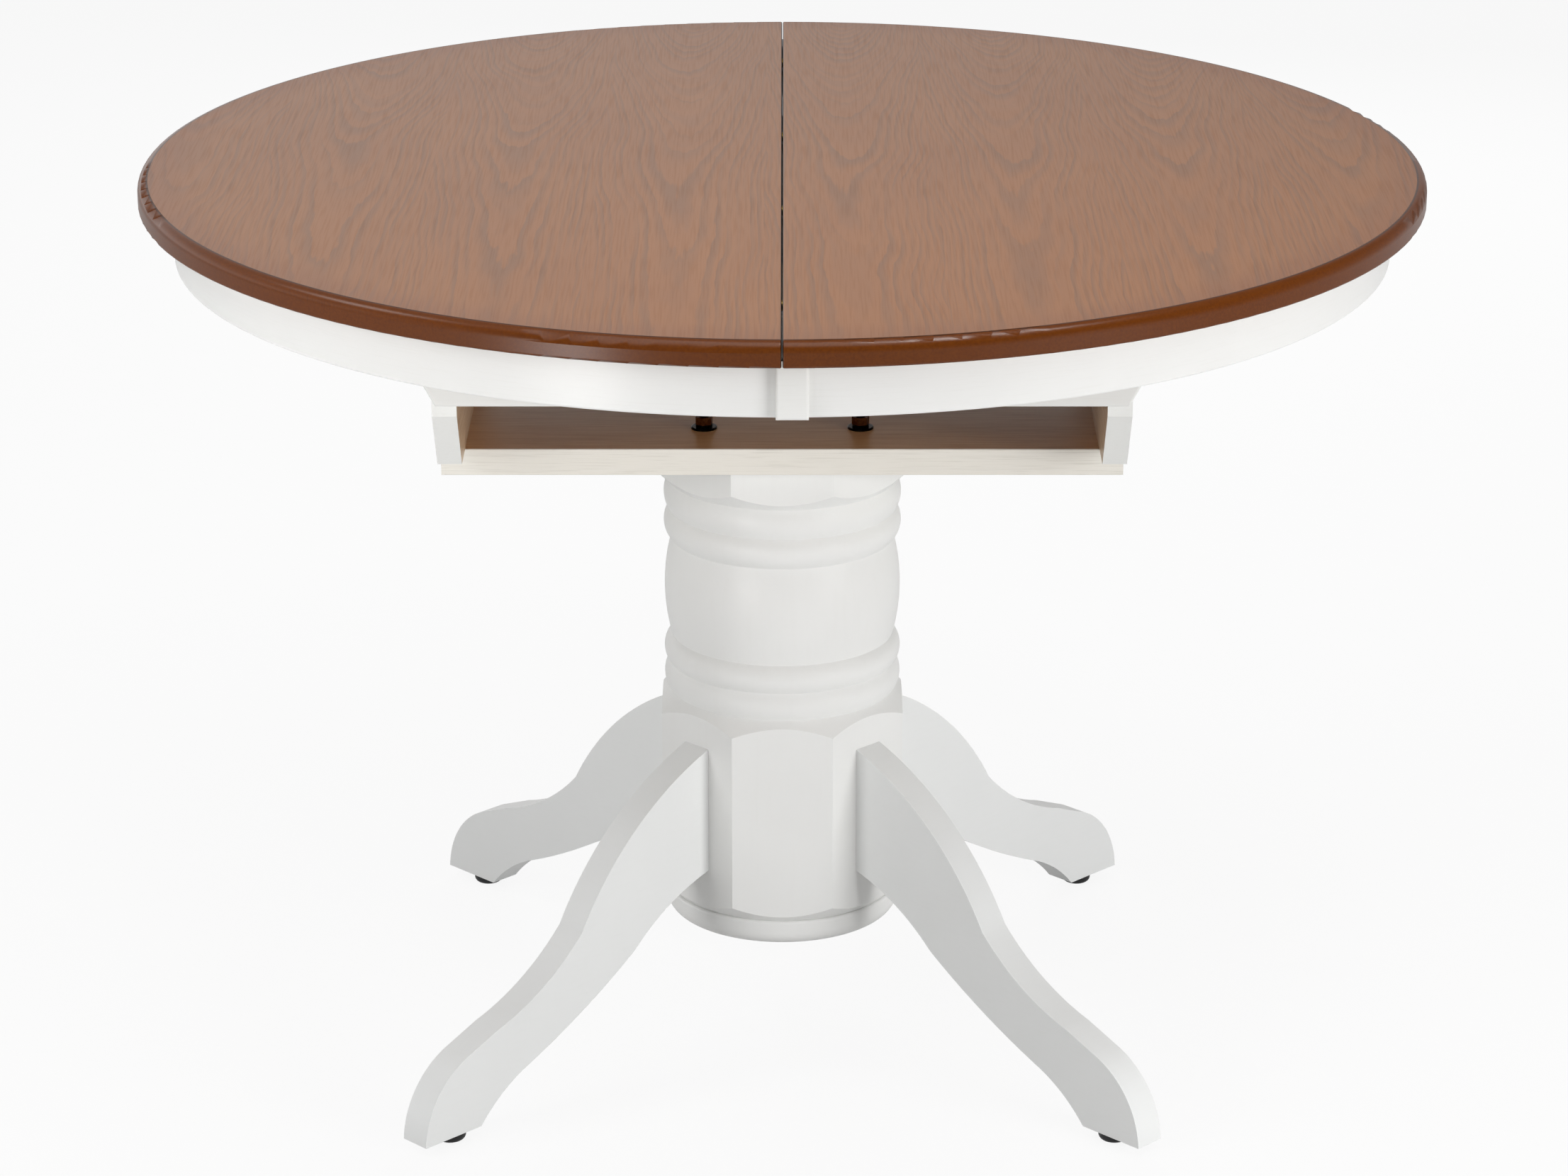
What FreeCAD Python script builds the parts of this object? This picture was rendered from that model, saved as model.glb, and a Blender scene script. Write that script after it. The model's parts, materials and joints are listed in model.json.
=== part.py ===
import FreeCAD, Part
import math
import os

# Round pedestal dining table with a self-storing butterfly leaf.
# Millimetres. X is the way the two top halves slide apart, Y runs along the seam,
# Z is up. The origin is on the floor, under the middle of the table.

Vector = FreeCAD.Vector

# ---------------------------------------------------------------- driving sizes
TABLE_HEIGHT = 760.0
TOP_DIAMETER = 1060.0
TOP_THICKNESS = 20.0
TOP_EDGE_ROUND = 8.5            # upper edge of the top
TOP_LOWER_ROUND = 2.0           # lower edge of the top
SEAM_GAP = 0.8                  # between the closed halves
SEAM_ROUND = 1.2                # eased edges all round each seam face
SEAM_LIP = 0.35                 # low on each seam face, so that the closed seam shows no light
SEAM_LIP_Z = 2.0                # above the underside
SEAM_LIP_HEIGHT = 3.0
SEAM_LIP_SETBACK = 14.0         # from the rim

APRON_SETBACK = 28.0            # curved apron's outer face inside the top's rim
APRON_THICKNESS = 20.0
APRON_HEIGHT = 46.0
APRON_EDGE_ROUND = 2.0
LAP_BLOCK_WIDTH = 24.4
LAP_BLOCK_THICKNESS = 7.0
LAP_OVERHANG = 4.7              # how far the lap block reaches past the seam
LAP_BLOCK_ROUND = 2.5
LAP_BLOCK_LET_IN = 2.0          # block drawn past the apron's face, then cut to its curve
LAP_CLEARANCE = 0.3             # lap block to the other half's apron
GLUE_BLOCK_SIZE = 40.0
GLUE_BLOCK_DEPTH = 21.0
GLUE_BLOCK_RISE = 4.0           # above the apron's lower edge
GLUE_BLOCK_ANGLES = (-75.0, -38.0, 0.0, 38.0, 75.0)
GLUE_LINE = 0.1

LEAF_WIDTH = 350.0              # how much one leaf adds to the length
SLIDE_TRAVEL = LEAF_WIDTH / 2   # each half moves by half a leaf

LEAF_SEAT = 5.0                 # folded leaf on the inner part of each side board
HORN_WIDTH = 25.0               # side board's end beside the stored leaf
RAIL_THICKNESS = 20.0
RAIL_END = 10.0                 # rail past the side boards
RAIL_HEIGHT = 121.0
RAIL_TOP_GAP = 3.5              # rail top to underside of the top
RAIL_BEVEL_X = 14.0
RAIL_BEVEL_Z = 26.0
RAIL_EDGE_ROUND = 3.0
SIDE_BOARD_THICKNESS = 20.0
SIDE_BOARD_FOOT_Y = 310.0       # length of its lower edge
SIDE_BEVEL_Z = 55.0
SADDLE_HEIGHT = 53.5            # side board's height where the leaf lies on it
SADDLE_CLEARANCE = 2.0          # leaf to the horns at the board's ends
HORN_TOP_GAP = 6.0              # horns below the runners
RAIL_ABOVE_PLANK = 69.0
PLANK_THICKNESS = 22.5
PLANK_WIDTH = 230.0
PLANK_EDGE_ROUND = 1.0
FELT_LENGTH = 300.0
RAIL_SCREW_SHARES = (0.28, 0.58)    # of the rail's height

GROOVE_DEPTH = 6.5
GROOVE_HEIGHT = 8.0
GROOVE_BELOW_TOP = 21.0         # groove's upper face below the underside of the top
RUNNER_WIDTH = 20.0
RUNNER_HEIGHT = 34.0
RUNNER_TAIL = 205.0             # past the seam, beside the rail
RUNNER_END_GAP = 16.7           # runner's outer end to the apron
RUNNER_RAIL_GAP = 0.3
TONGUE_CLEARANCE = 0.3
TONGUE_SHORT = 60.0             # tongue stops before the runner's outer end
TAIL_RELIEF = 0.8               # tail below the other half's underside
RUNNER_SCREW_IN = 40.0          # first screw from the seam
RUNNER_SCREW_OUT = 25.0         # last screw from the runner's outer end
TOP_SCREW_BITE = 14.0           # screws into the top

GEAR_MODULE = 1.5
GEAR_TEETH = 16
GEAR_WIDTH = 9.2
GEAR_BACKLASH = 0.56
PINION_PIN_RADIUS = 2.5
PINION_GAP = 0.3                # above and below the pinion
PINION_HEAD_HEIGHT = 2.2
PINION_PIN_DEPTH = 20.0         # in the rail
RACK_POCKET_DEPTH = 7.0
RACK_END_MARGIN = 1.8           # rack pocket past the pinion at each end of travel
RUNNING_FIT = 0.05              # radial, pins and pivots
HOLE_CLEARANCE = 0.05           # radial, screws in their holes

DOWEL_RADIUS = 4.0
DOWEL_REACH = 9.5
DOWEL_SEAT = 18.0
DOWEL_CLEARANCE = 0.3
DOWEL_SHARES = (0.23, 0.75)     # of the top's radius, from the middle along the seam
BUSHING_RADIUS = 5.5
BUSHING_LENGTH = 14.0

LOCK_INSET = 180.0              # pivots from the top's rim, along the seam
LOCK_PIVOT_X = 27.0
LOCK_REACH = 50.0               # pivot to keeper stud
LOCK_LEVER_LENGTH = 62.0
LOCK_LEVER_WIDTH = 16.0
LOCK_LEVER_THICKNESS = 3.0
LOCK_PLATE_THICKNESS = 2.0
LOCK_STUD_RADIUS = 3.0
LOCK_HEAD_RADIUS = 5.0
LOCK_HEAD_HEIGHT = 1.5
LOCK_SLOT_RADIUS = 4.2
LOCK_GAP = 0.5                  # lever to plate and to rivet head
LOCK_PLATE_LENGTH = 42.0
LOCK_PLATE_WIDTH = 28.0
LOCK_SCREW_SPACING = 28.0
LOCK_SCREW_LENGTH = 14.0
LOCK_TAB_DROP = 14.0

LEAF_REST_GAP = 0.2             # leaf above its felt strips
FELT_THICKNESS = 1.8
LEAF_FOLD_GAP = 1.5             # between the folded wings
FOLD_PIN_INSET = 7.0            # pivots from the folded edge and from the middle of the gap
FOLD_PIN_RADIUS = 1.5
STRAP_LENGTH = 48.0
STRAP_HEIGHT = 12.0
STRAP_THICKNESS = 2.5
LINK_THICKNESS = 2.0
LINK_WIDTH = 10.0
LINK_GAP = 0.3                  # link to strap
HINGE_POCKET_DEPTH = 6.2
HINGE_POCKET_MARGIN = 3.0       # round the strap
STRAP_SCREW_LENGTH = 18.0
STRAP_SCREW_SHARES = (0.375, 0.7)   # of the strap's length, from the pivot

FOOT_DISC_Z = 96.0
FOOT_DISC_HEIGHT = 22.5
FOOT_DISC_RADIUS = 100.0
FOOT_DISC_ROUND = 12.0
FOOT_DISC_TOP_ROUND = 2.5
SPIGOT_HEIGHT = 12.0
SPIGOT_CLEARANCE = 0.3
FOOT_SCREW_BITE = 28.0
COLUMN_FLATS = 205.0            # across the octagon's flats
COLUMN_BORE_RADIUS = 48.0
TURNED_END_RADIUS = 97.0        # where each octagon block runs out into turning
NECK_RADIUS = 94.5
BEAD_RADIUS = 100.6
BEAD_GROOVE_RADIUS = 96.5
BARREL_RADIUS = 100.2
LOWER_BLOCK_HEIGHT = 182.5
LOWER_BEAD_HEIGHT = 24.0
BARREL_HEIGHT = 86.0
UPPER_BEAD_HEIGHT = 26.2

LEG_THICKNESS = 28.0
LEG_TOP_Z = 269.5               # at the column
LEG_ROOT_Z = 159.0
LEG_TOE_RADIUS = 426.3
LEG_HEEL_RADIUS = 365.5
# Outline points of the leg, as steps from the column's face or from the toe or heel, in shares
# of the leg's reach and height: the convex top, the hollow down to the toe, then the arch below.
LEG_CREST_SHARES = (0.2702, -0.1950)
LEG_SHOULDER_SHARES = (0.4555, -0.4723)
LEG_HOLLOW_SHARES = (-0.4148, 0.3977)
LEG_INSTEP_SHARES = (-0.2511, 0.3078)
LEG_TOE_START_SHARES = (-0.1584, 0.2620)
LEG_TOE_BEND_SHARES = (-0.0556, 0.1740)
LEG_HEEL_BEND_SHARES = (-0.0757, 0.0860)
LEG_ARCH_START_SHARES = (-0.1714, 0.1491)
LEG_ARCH_SHARES = (0.4555, -0.3193)
LEG_ARCH_END_SHARES = (0.2702, -0.1816)
LEG_ROOT_BEND_SHARES = (0.1374, -0.0650)
GLIDE_HEIGHT = 8.0
GLIDE_RADIUS = 13.0
GLIDE_AT_RADIUS = 387.5
GLIDE_ROUND = 5.0
GLIDE_SCREW_LENGTH = 28.0

BOLT_RADIUS = 4.0               # M8 hanger bolts
NUT_FLATS = 13.0
NUT_HEIGHT = 6.5
NUT_CHAMFER = 0.4
PLANK_BOLT_X = 65.0
PLANK_BOLT_Y = 57.0
PLANK_BOLT_DEPTH = 45.0         # in the column's end grain
PLANK_WASHER_RADIUS = 10.8
PLANK_WASHER_THICKNESS = 1.8
PLANK_WASHER_ROUND = 0.7
SPRING_WASHER_RADIUS = 7.0
SPRING_WASHER_THICKNESS = 2.2
SPRING_WASHER_SPLIT = 1.2
PLANK_NUT_TURNS = (22.0, 40.0, 13.0, 51.0)  # where each nut's corners came to rest, degrees
BOLT_TIP = 4.0                  # thread showing past the nut
LEG_BOLT_SHARES = (0.25, 0.76)  # of the leg's height at the column
LEG_BOLT_DEPTH = 45.0           # in the leg
LEG_WASHER_RADIUS = 11.0
LEG_WASHER_THICKNESS = 2.0
SPOT_FACE_DEPTH = 0.5
SPOT_FACE_CLEARANCE = 0.5

SCREW_RADIUS = 2.25
SCREW_HEAD_RADIUS = 4.5
SCREW_HEAD_HEIGHT = 3.0
DRIVE_REACH = 2.4               # cross recess in each head: its arms, from the middle
DRIVE_WIDTH = 1.2
DRIVE_DEPTH = 1.6
BOX_SCREW_BITE = 24.0           # screws into the side boards
PLANK_SCREW_INSET = 25.0

# ------------------------------------------------------------- derived heights
UNDERSIDE_Z = TABLE_HEIGHT - TOP_THICKNESS
APRON_Z = UNDERSIDE_Z - APRON_HEIGHT
RAIL_TOP_Z = UNDERSIDE_Z - RAIL_TOP_GAP
RAIL_Z = RAIL_TOP_Z - RAIL_HEIGHT
PLANK_TOP_Z = RAIL_Z - RAIL_ABOVE_PLANK
SADDLE_Z = PLANK_TOP_Z + SADDLE_HEIGHT
PLANK_Z = PLANK_TOP_Z - PLANK_THICKNESS
PLANK_NUT_Z = PLANK_TOP_Z + PLANK_WASHER_THICKNESS + SPRING_WASHER_THICKNESS
COLUMN_TOP_Z = PLANK_Z
COLUMN_Z = FOOT_DISC_Z + FOOT_DISC_HEIGHT
LEAF_Z = SADDLE_Z + FELT_THICKNESS + LEAF_REST_GAP
FOLD_Z = LEAF_Z + TOP_THICKNESS + LEAF_FOLD_GAP / 2
UPPER_WING_Z = FOLD_Z + LEAF_FOLD_GAP / 2
GROOVE_TOP_Z = UNDERSIDE_Z - GROOVE_BELOW_TOP
GROOVE_Z = GROOVE_TOP_Z - GROOVE_HEIGHT
RUNNER_Z = UNDERSIDE_Z - RUNNER_HEIGHT
LOCK_PLATE_Z = UNDERSIDE_Z - LOCK_PLATE_THICKNESS
LOCK_LEVER_Z = LOCK_PLATE_Z - LOCK_GAP - LOCK_LEVER_THICKNESS
LOCK_HEAD_Z = LOCK_LEVER_Z - LOCK_GAP - LOCK_HEAD_HEIGHT
DOWEL_Z = UNDERSIDE_Z + TOP_THICKNESS / 2

# --------------------------------------------------------------- derived plans
SEAM_X = SEAM_GAP / 2
TOP_RADIUS = TOP_DIAMETER / 2
HALF_LEAF = TOP_RADIUS          # each wing is half the leaf's length
APRON_RADIUS = TOP_RADIUS - APRON_SETBACK
BOX_INSIDE_X = HALF_LEAF - 2 * LEAF_SEAT
BOX_INSIDE_Y = LEAF_WIDTH + 2 * (SADDLE_CLEARANCE + HORN_WIDTH)
RAIL_LENGTH = BOX_INSIDE_X + 2 * (SIDE_BOARD_THICKNESS + RAIL_END)
COLUMN_APOTHEM = COLUMN_FLATS / 2
COLUMN_CORNER = COLUMN_APOTHEM / math.cos(math.pi / 8)
RAIL_Y = (BOX_INSIDE_Y + RAIL_THICKNESS) / 2
SIDE_OUTER_X = BOX_INSIDE_X / 2 + SIDE_BOARD_THICKNESS
RUNNER_FACE = RAIL_THICKNESS / 2 + RUNNER_RAIL_GAP
RUNNER_OUTER_Y = RAIL_Y + RUNNER_FACE + RUNNER_WIDTH
APRON_INNER_RADIUS = APRON_RADIUS - APRON_THICKNESS
RUNNER_REACH = math.sqrt(APRON_INNER_RADIUS ** 2 - RUNNER_OUTER_Y ** 2) - RUNNER_END_GAP
PITCH_RADIUS = GEAR_MODULE * GEAR_TEETH / 2
PITCH = math.pi * GEAR_MODULE
ADDENDUM = 0.75 * GEAR_MODULE
DEDENDUM = 1.0 * GEAR_MODULE
PINION_HEAD_Z = RAIL_TOP_Z - PINION_HEAD_HEIGHT
PINION_Z = PINION_HEAD_Z - PINION_GAP - GEAR_WIDTH
POCKET_Z = PINION_Z - PINION_GAP
LEAF_FOLD_X = -HALF_LEAF / 2    # folded edge of the stored leaf
LOCK_Y = TOP_RADIUS - LOCK_INSET
LEG_REACH = LEG_TOE_RADIUS - COLUMN_APOTHEM
LEG_HEIGHT = LEG_TOP_Z - GLIDE_HEIGHT
LEG_ANGLES = {"front_left": 225.0, "front_right": 315.0, "rear_right": 45.0, "rear_left": 135.0}


# ---------------------------------------------------------------- small helpers
def box(x0, x1, y0, y1, z0, z1):
    return Part.makeBox(x1 - x0, y1 - y0, z1 - z0, Vector(x0, y0, z0))


def cylinder(radius, x, y, z0, z1):
    return Part.makeCylinder(radius, z1 - z0, Vector(x, y, z0))


def rod(radius, start, direction, length):
    return Part.makeCylinder(radius, length, start, direction)


def line(a, b):
    return Part.LineSegment(a, b).toShape()


def arc(a, middle, b):
    return Part.Arc(a, middle, b).toShape()


def prism(points, direction):
    return Part.Face(Part.makePolygon(points + points[:1])).extrude(direction)


def spun(edges, angle=360.0):
    face = Part.Face(Part.Wire(edges))
    return face.revolve(Vector(0, 0, 0), Vector(0, 0, 1), angle)


def turned(shape, degrees, axis=Vector(0, 0, 1), centre=Vector(0, 0, 0)):
    copy = shape.copy()
    copy.rotate(centre, axis, degrees)
    return copy


def half_turn(shape):
    return turned(shape, 180.0)


def flipped_y(shape):
    return shape.mirror(Vector(0, 0, 0), Vector(0, 1, 0))


def save(name, shapes):
    solids = shapes if isinstance(shapes, list) else [shapes]
    shape = solids[0] if len(solids) == 1 else Part.makeCompound(solids)
    if len(solids) == 1 and len(shape.Solids) == 1:
        shape = shape.Solids[0]
    shape.exportStep("parts/" + name + ".step")
    print(name, "solids", len(shape.Solids), "volume", round(shape.Volume / 1000.0, 2))


def screw(start, direction, length, clearance=0.0):
    """Countersunk wood screw: start is the middle of its flat head. With a clearance, its hole."""
    head = Part.makeCone(SCREW_HEAD_RADIUS + clearance, SCREW_RADIUS + clearance,
                         SCREW_HEAD_HEIGHT, start, direction)
    shape = head.fuse(rod(SCREW_RADIUS + clearance, start, direction, length)).removeSplitter()
    return shape if clearance else shape.cut(cross_recess(start, direction))


def cross_recess(start, direction):
    """Crossed slots for the driver, sunk into a screw head."""
    half = DRIVE_WIDTH / 2
    arm = box(-DRIVE_REACH, DRIVE_REACH, -half, half, 0, DRIVE_DEPTH)
    cross = arm.fuse(turned(arm, 90.0)).removeSplitter()
    cross.Placement = FreeCAD.Placement(start, FreeCAD.Rotation(Vector(0, 0, 1), direction))
    return cross


def rim_edges(shape, z, radius):
    """Level round edges of a turned shape at one height."""
    return [edge for edge in shape.Edges
            if abs(edge.BoundBox.ZMax - z) < 0.01 and abs(edge.BoundBox.ZMin - z) < 0.01
            and abs(edge.BoundBox.XLength - 2 * radius) < 0.1]


def hexagon_nut(start, direction, height):
    """Hexagon nut on a hanger bolt, from start along direction."""
    corner = NUT_FLATS / math.sqrt(3)
    points = [Vector(corner * math.cos(math.radians(60 * i)), corner * math.sin(math.radians(60 * i)), 0)
              for i in range(6)]
    nut = prism(points, Vector(0, 0, height))
    small = NUT_FLATS / 2 - NUT_CHAMFER
    dome = Part.makeCone(corner + height, small, height + corner - small)
    nut = nut.common(dome)
    nut = nut.cut(Part.makeCylinder(BOLT_RADIUS + HOLE_CLEARANCE, height))
    nut.Placement = FreeCAD.Placement(start, FreeCAD.Rotation(Vector(0, 0, 1), direction))
    return nut


def washer(radius, start, direction, thickness):
    ring = rod(radius, start, direction, thickness)
    return ring.cut(rod(BOLT_RADIUS + HOLE_CLEARANCE, start, direction, thickness))


# --------------------------------------------------------------------- the top
def dowel_places():
    return [side * share * TOP_RADIUS for share in DOWEL_SHARES for side in (-1, 1)]


def top_disc():
    low, high = UNDERSIDE_Z, TABLE_HEIGHT
    lower, upper = TOP_LOWER_ROUND, TOP_EDGE_ROUND
    bend = 1 - math.sqrt(0.5)
    rim = TOP_RADIUS
    points = [Vector(0, 0, low), Vector(rim - lower, 0, low), Vector(rim, 0, low + lower),
              Vector(rim, 0, high - upper), Vector(rim - upper, 0, high), Vector(0, 0, high)]
    edges = [line(points[0], points[1]),
             arc(points[1], Vector(rim - lower * bend, 0, low + lower * bend), points[2]),
             line(points[2], points[3]),
             arc(points[3], Vector(rim - upper * bend, 0, high - upper * bend), points[4]),
             line(points[4], points[5]), line(points[5], points[0])]
    return spun(edges)


def top_half():
    """Right half of the round top, with its seam face eased all round and a lip low on that face."""
    keep = box(SEAM_X, TOP_RADIUS + 1, -TOP_RADIUS - 1, TOP_RADIUS + 1, UNDERSIDE_Z - 1, TABLE_HEIGHT + 1)
    half = top_disc().common(keep)
    seam_face = [face for face in half.Faces if face.BoundBox.XMax < SEAM_X + 0.001][0]
    half = half.makeFillet(SEAM_ROUND, seam_face.OuterWire.Edges)
    reach = TOP_RADIUS - SEAM_LIP_SETBACK
    lip_z = UNDERSIDE_Z + SEAM_LIP_Z
    lip = box(SEAM_X - SEAM_LIP, SEAM_X + SEAM_ROUND, -reach, reach, lip_z, lip_z + SEAM_LIP_HEIGHT)
    return half.fuse(lip).removeSplitter()


def alignment_pins(clearance=0.0):
    """Brass pins set in the right half's seam face."""
    start = -DOWEL_REACH
    end = SEAM_X + DOWEL_SEAT
    return [rod(DOWEL_RADIUS + clearance, Vector(start, y, DOWEL_Z), Vector(1, 0, 0), end - start)
            for y in dowel_places()]


def bushing_holes():
    return [rod(BUSHING_RADIUS, Vector(-SEAM_X, y, DOWEL_Z), Vector(-1, 0, 0), BUSHING_LENGTH)
            for y in dowel_places()]


def alignment_bushings():
    return [hole.cut(rod(DOWEL_RADIUS + DOWEL_CLEARANCE, Vector(-SEAM_X, y, DOWEL_Z),
                         Vector(-1, 0, 0), BUSHING_LENGTH))
            for hole, y in zip(bushing_holes(), dowel_places())]


# ------------------------------------------------------------------- the apron
def apron_half():
    inner = APRON_INNER_RADIUS
    outer = APRON_RADIUS
    soft = APRON_EDGE_ROUND
    bend = soft * (1 - math.sqrt(0.5))
    points = [Vector(inner, 0, UNDERSIDE_Z), Vector(inner, 0, APRON_Z), Vector(outer - soft, 0, APRON_Z),
              Vector(outer, 0, APRON_Z + soft), Vector(outer, 0, UNDERSIDE_Z)]
    edges = [line(points[0], points[1]), line(points[1], points[2]),
             arc(points[2], Vector(outer - bend, 0, APRON_Z + bend), points[3]),
             line(points[3], points[4]), line(points[4], points[0])]
    keep = box(SEAM_X, outer + 1, -outer - 1, outer + 1, APRON_Z - 1, UNDERSIDE_Z + 1)
    return spun(edges).common(keep)


def lap_block():
    """Block on the right apron's front end, which covers the seam between the aprons."""
    front = APRON_RADIUS + LAP_BLOCK_THICKNESS
    block = box(-LAP_OVERHANG, LAP_BLOCK_WIDTH - LAP_OVERHANG, -front, LAP_BLOCK_LET_IN - APRON_RADIUS,
                APRON_Z, UNDERSIDE_Z - TAIL_RELIEF / 2)
    at_front = [edge for edge in block.Edges
                if all(abs(v.Y + front) < 0.01 for v in edge.Vertexes)
                and any(abs(v.Z - APRON_Z) < 0.01 for v in edge.Vertexes)]
    block = block.makeFillet(LAP_BLOCK_ROUND, at_front)
    seat = cylinder(APRON_RADIUS, 0, 0, APRON_Z - 1, UNDERSIDE_Z)
    free_side = cylinder(APRON_RADIUS + LAP_CLEARANCE, 0, 0, APRON_Z - 1, UNDERSIDE_Z)
    past_seam = box(-LAP_OVERHANG - 1, SEAM_X, -front - 1, 0, APRON_Z - 1, UNDERSIDE_Z)
    return block.cut([seat, free_side.common(past_seam)])


def glue_blocks():
    outer = APRON_INNER_RADIUS - GLUE_LINE
    block = box(outer - GLUE_BLOCK_DEPTH, outer + 1, -GLUE_BLOCK_SIZE / 2, GLUE_BLOCK_SIZE / 2,
                APRON_Z + GLUE_BLOCK_RISE, UNDERSIDE_Z)
    block = block.common(cylinder(outer, 0, 0, APRON_Z, UNDERSIDE_Z))
    return [turned(block, angle) for angle in GLUE_BLOCK_ANGLES]


# --------------------------------------------------------------- geared slides
def gear_flank(radius_out, half_pitch_line):
    """Half thickness of a 20 degree tooth at a distance outside its pitch line."""
    return half_pitch_line - radius_out * math.tan(math.radians(20.0))


def tooth_half():
    return PITCH / 4 - GEAR_BACKLASH / 4


def pinion(rail_y):
    root = PITCH_RADIUS - DEDENDUM
    tip = PITCH_RADIUS + ADDENDUM
    points = []
    for i in range(GEAR_TEETH):
        middle = math.pi / 2 + 2 * math.pi * i / GEAR_TEETH
        for radius, side in ((root, -1), (tip, -1), (tip, 1), (root, 1)):
            half = gear_flank(radius - PITCH_RADIUS, tooth_half())
            angle = middle + side * half / radius
            points.append(Vector(radius * math.cos(angle), rail_y + radius * math.sin(angle), PINION_Z))
    wheel = prism(points, Vector(0, 0, GEAR_WIDTH))
    return wheel.cut(cylinder(PINION_PIN_RADIUS + RUNNING_FIT, 0, rail_y, PINION_Z, PINION_Z + GEAR_WIDTH))


def pinion_pin(rail_y):
    shaft = cylinder(PINION_PIN_RADIUS, 0, rail_y, POCKET_Z - PINION_PIN_DEPTH, PINION_HEAD_Z)
    head = cylinder(PINION_PIN_RADIUS * 2, 0, rail_y, PINION_HEAD_Z, RAIL_TOP_Z)
    return shaft.fuse(head).removeSplitter()


def rack_ends():
    """Where the right half's rack runs, along X with the table closed."""
    pocket = PITCH_RADIUS + ADDENDUM + RACK_END_MARGIN
    return -SLIDE_TRAVEL - pocket, pocket


def rack():
    """Rack of the right half, facing -Y with its pitch line at y = 0."""
    start, end = rack_ends()
    back = RACK_POCKET_DEPTH - (PITCH_RADIUS - RUNNER_FACE)
    first = math.ceil(start / PITCH)
    last = math.floor(end / PITCH)
    z = POCKET_Z
    points = [Vector(start, back, z), Vector(start, DEDENDUM, z)]
    for i in range(first, last):
        middle = (i + 0.5) * PITCH
        for out, side in ((-DEDENDUM, -1), (ADDENDUM, -1), (ADDENDUM, 1), (-DEDENDUM, 1)):
            points.append(Vector(middle + side * gear_flank(out, tooth_half()), -out, z))
    points += [Vector(end, DEDENDUM, z), Vector(end, back, z)]
    return prism(points, Vector(0, 0, PINION_HEAD_Z - POCKET_Z))


def runner():
    """Right half's runner: its face towards the rail is the plane y = 0, its body is at y > 0."""
    start, end = rack_ends()
    body = box(-RUNNER_TAIL, RUNNER_REACH, 0, RUNNER_WIDTH, RUNNER_Z, UNDERSIDE_Z)
    tip = TONGUE_CLEARANCE - GROOVE_DEPTH - RUNNER_RAIL_GAP
    tongue = box(-RUNNER_TAIL, RUNNER_REACH - TONGUE_SHORT, tip, 0,
                 GROOVE_Z + TONGUE_CLEARANCE, GROOVE_TOP_Z - TONGUE_CLEARANCE)
    tail_top = box(-RUNNER_TAIL, LAP_OVERHANG, 0, RUNNER_WIDTH, UNDERSIDE_Z - TAIL_RELIEF, UNDERSIDE_Z)
    pocket = box(start, end, 0, RACK_POCKET_DEPTH, POCKET_Z, PINION_HEAD_Z)
    shape = body.fuse(tongue).removeSplitter()
    return shape.cut([tail_top, pocket])


def placed_runner(shape, rail_y):
    """Right half's piece beside the rail centred on rail_y, on its +Y side."""
    copy = shape.copy()
    copy.translate(Vector(0, rail_y + RUNNER_FACE, 0))
    return copy


def placed_rack(rail_y):
    strip = rack()
    strip.translate(Vector(0, rail_y + PITCH_RADIUS, 0))
    return strip


def runner_screws(rail_y, clearance=0.0):
    y = rail_y + RUNNER_FACE + (RACK_POCKET_DEPTH + RUNNER_WIDTH) / 2
    first, last = RUNNER_SCREW_IN, RUNNER_REACH - RUNNER_SCREW_OUT
    places = (first, (first + last) / 2, last)
    length = RUNNER_HEIGHT + TOP_SCREW_BITE
    return [screw(Vector(x, y, RUNNER_Z), Vector(0, 0, 1), length, clearance) for x in places]


def rail(rail_y, outward):
    """Fixed rail with a groove on each face, a pinion pocket and bevelled lower corners."""
    half = RAIL_LENGTH / 2
    near = rail_y - RAIL_THICKNESS / 2
    profile = [Vector(-half, near, RAIL_TOP_Z), Vector(-half, near, RAIL_Z + RAIL_BEVEL_Z),
               Vector(-half + RAIL_BEVEL_X, near, RAIL_Z), Vector(half - RAIL_BEVEL_X, near, RAIL_Z),
               Vector(half, near, RAIL_Z + RAIL_BEVEL_Z), Vector(half, near, RAIL_TOP_Z)]
    body = prism(profile, Vector(0, RAIL_THICKNESS, 0))
    face_y = rail_y + outward * RAIL_THICKNESS / 2
    soft = [edge for edge in body.Edges
            if all(abs(v.Y - face_y) < 0.01 and v.Z < RAIL_Z + RAIL_BEVEL_Z + 0.1 for v in edge.Vertexes)]
    body = body.makeFillet(RAIL_EDGE_ROUND, soft)
    far = near + RAIL_THICKNESS
    grooves = [box(-half, half, near, near + GROOVE_DEPTH, GROOVE_Z, GROOVE_TOP_Z),
               box(-half, half, far - GROOVE_DEPTH, far, GROOVE_Z, GROOVE_TOP_Z)]
    room = PITCH_RADIUS + ADDENDUM + RACK_END_MARGIN
    pocket = box(-room, room, near, far, POCKET_Z, RAIL_TOP_Z)
    hole = cylinder(PINION_PIN_RADIUS + HOLE_CLEARANCE, 0, rail_y, POCKET_Z - PINION_PIN_DEPTH, POCKET_Z)
    return body.cut(grooves + [pocket, hole])


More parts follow.
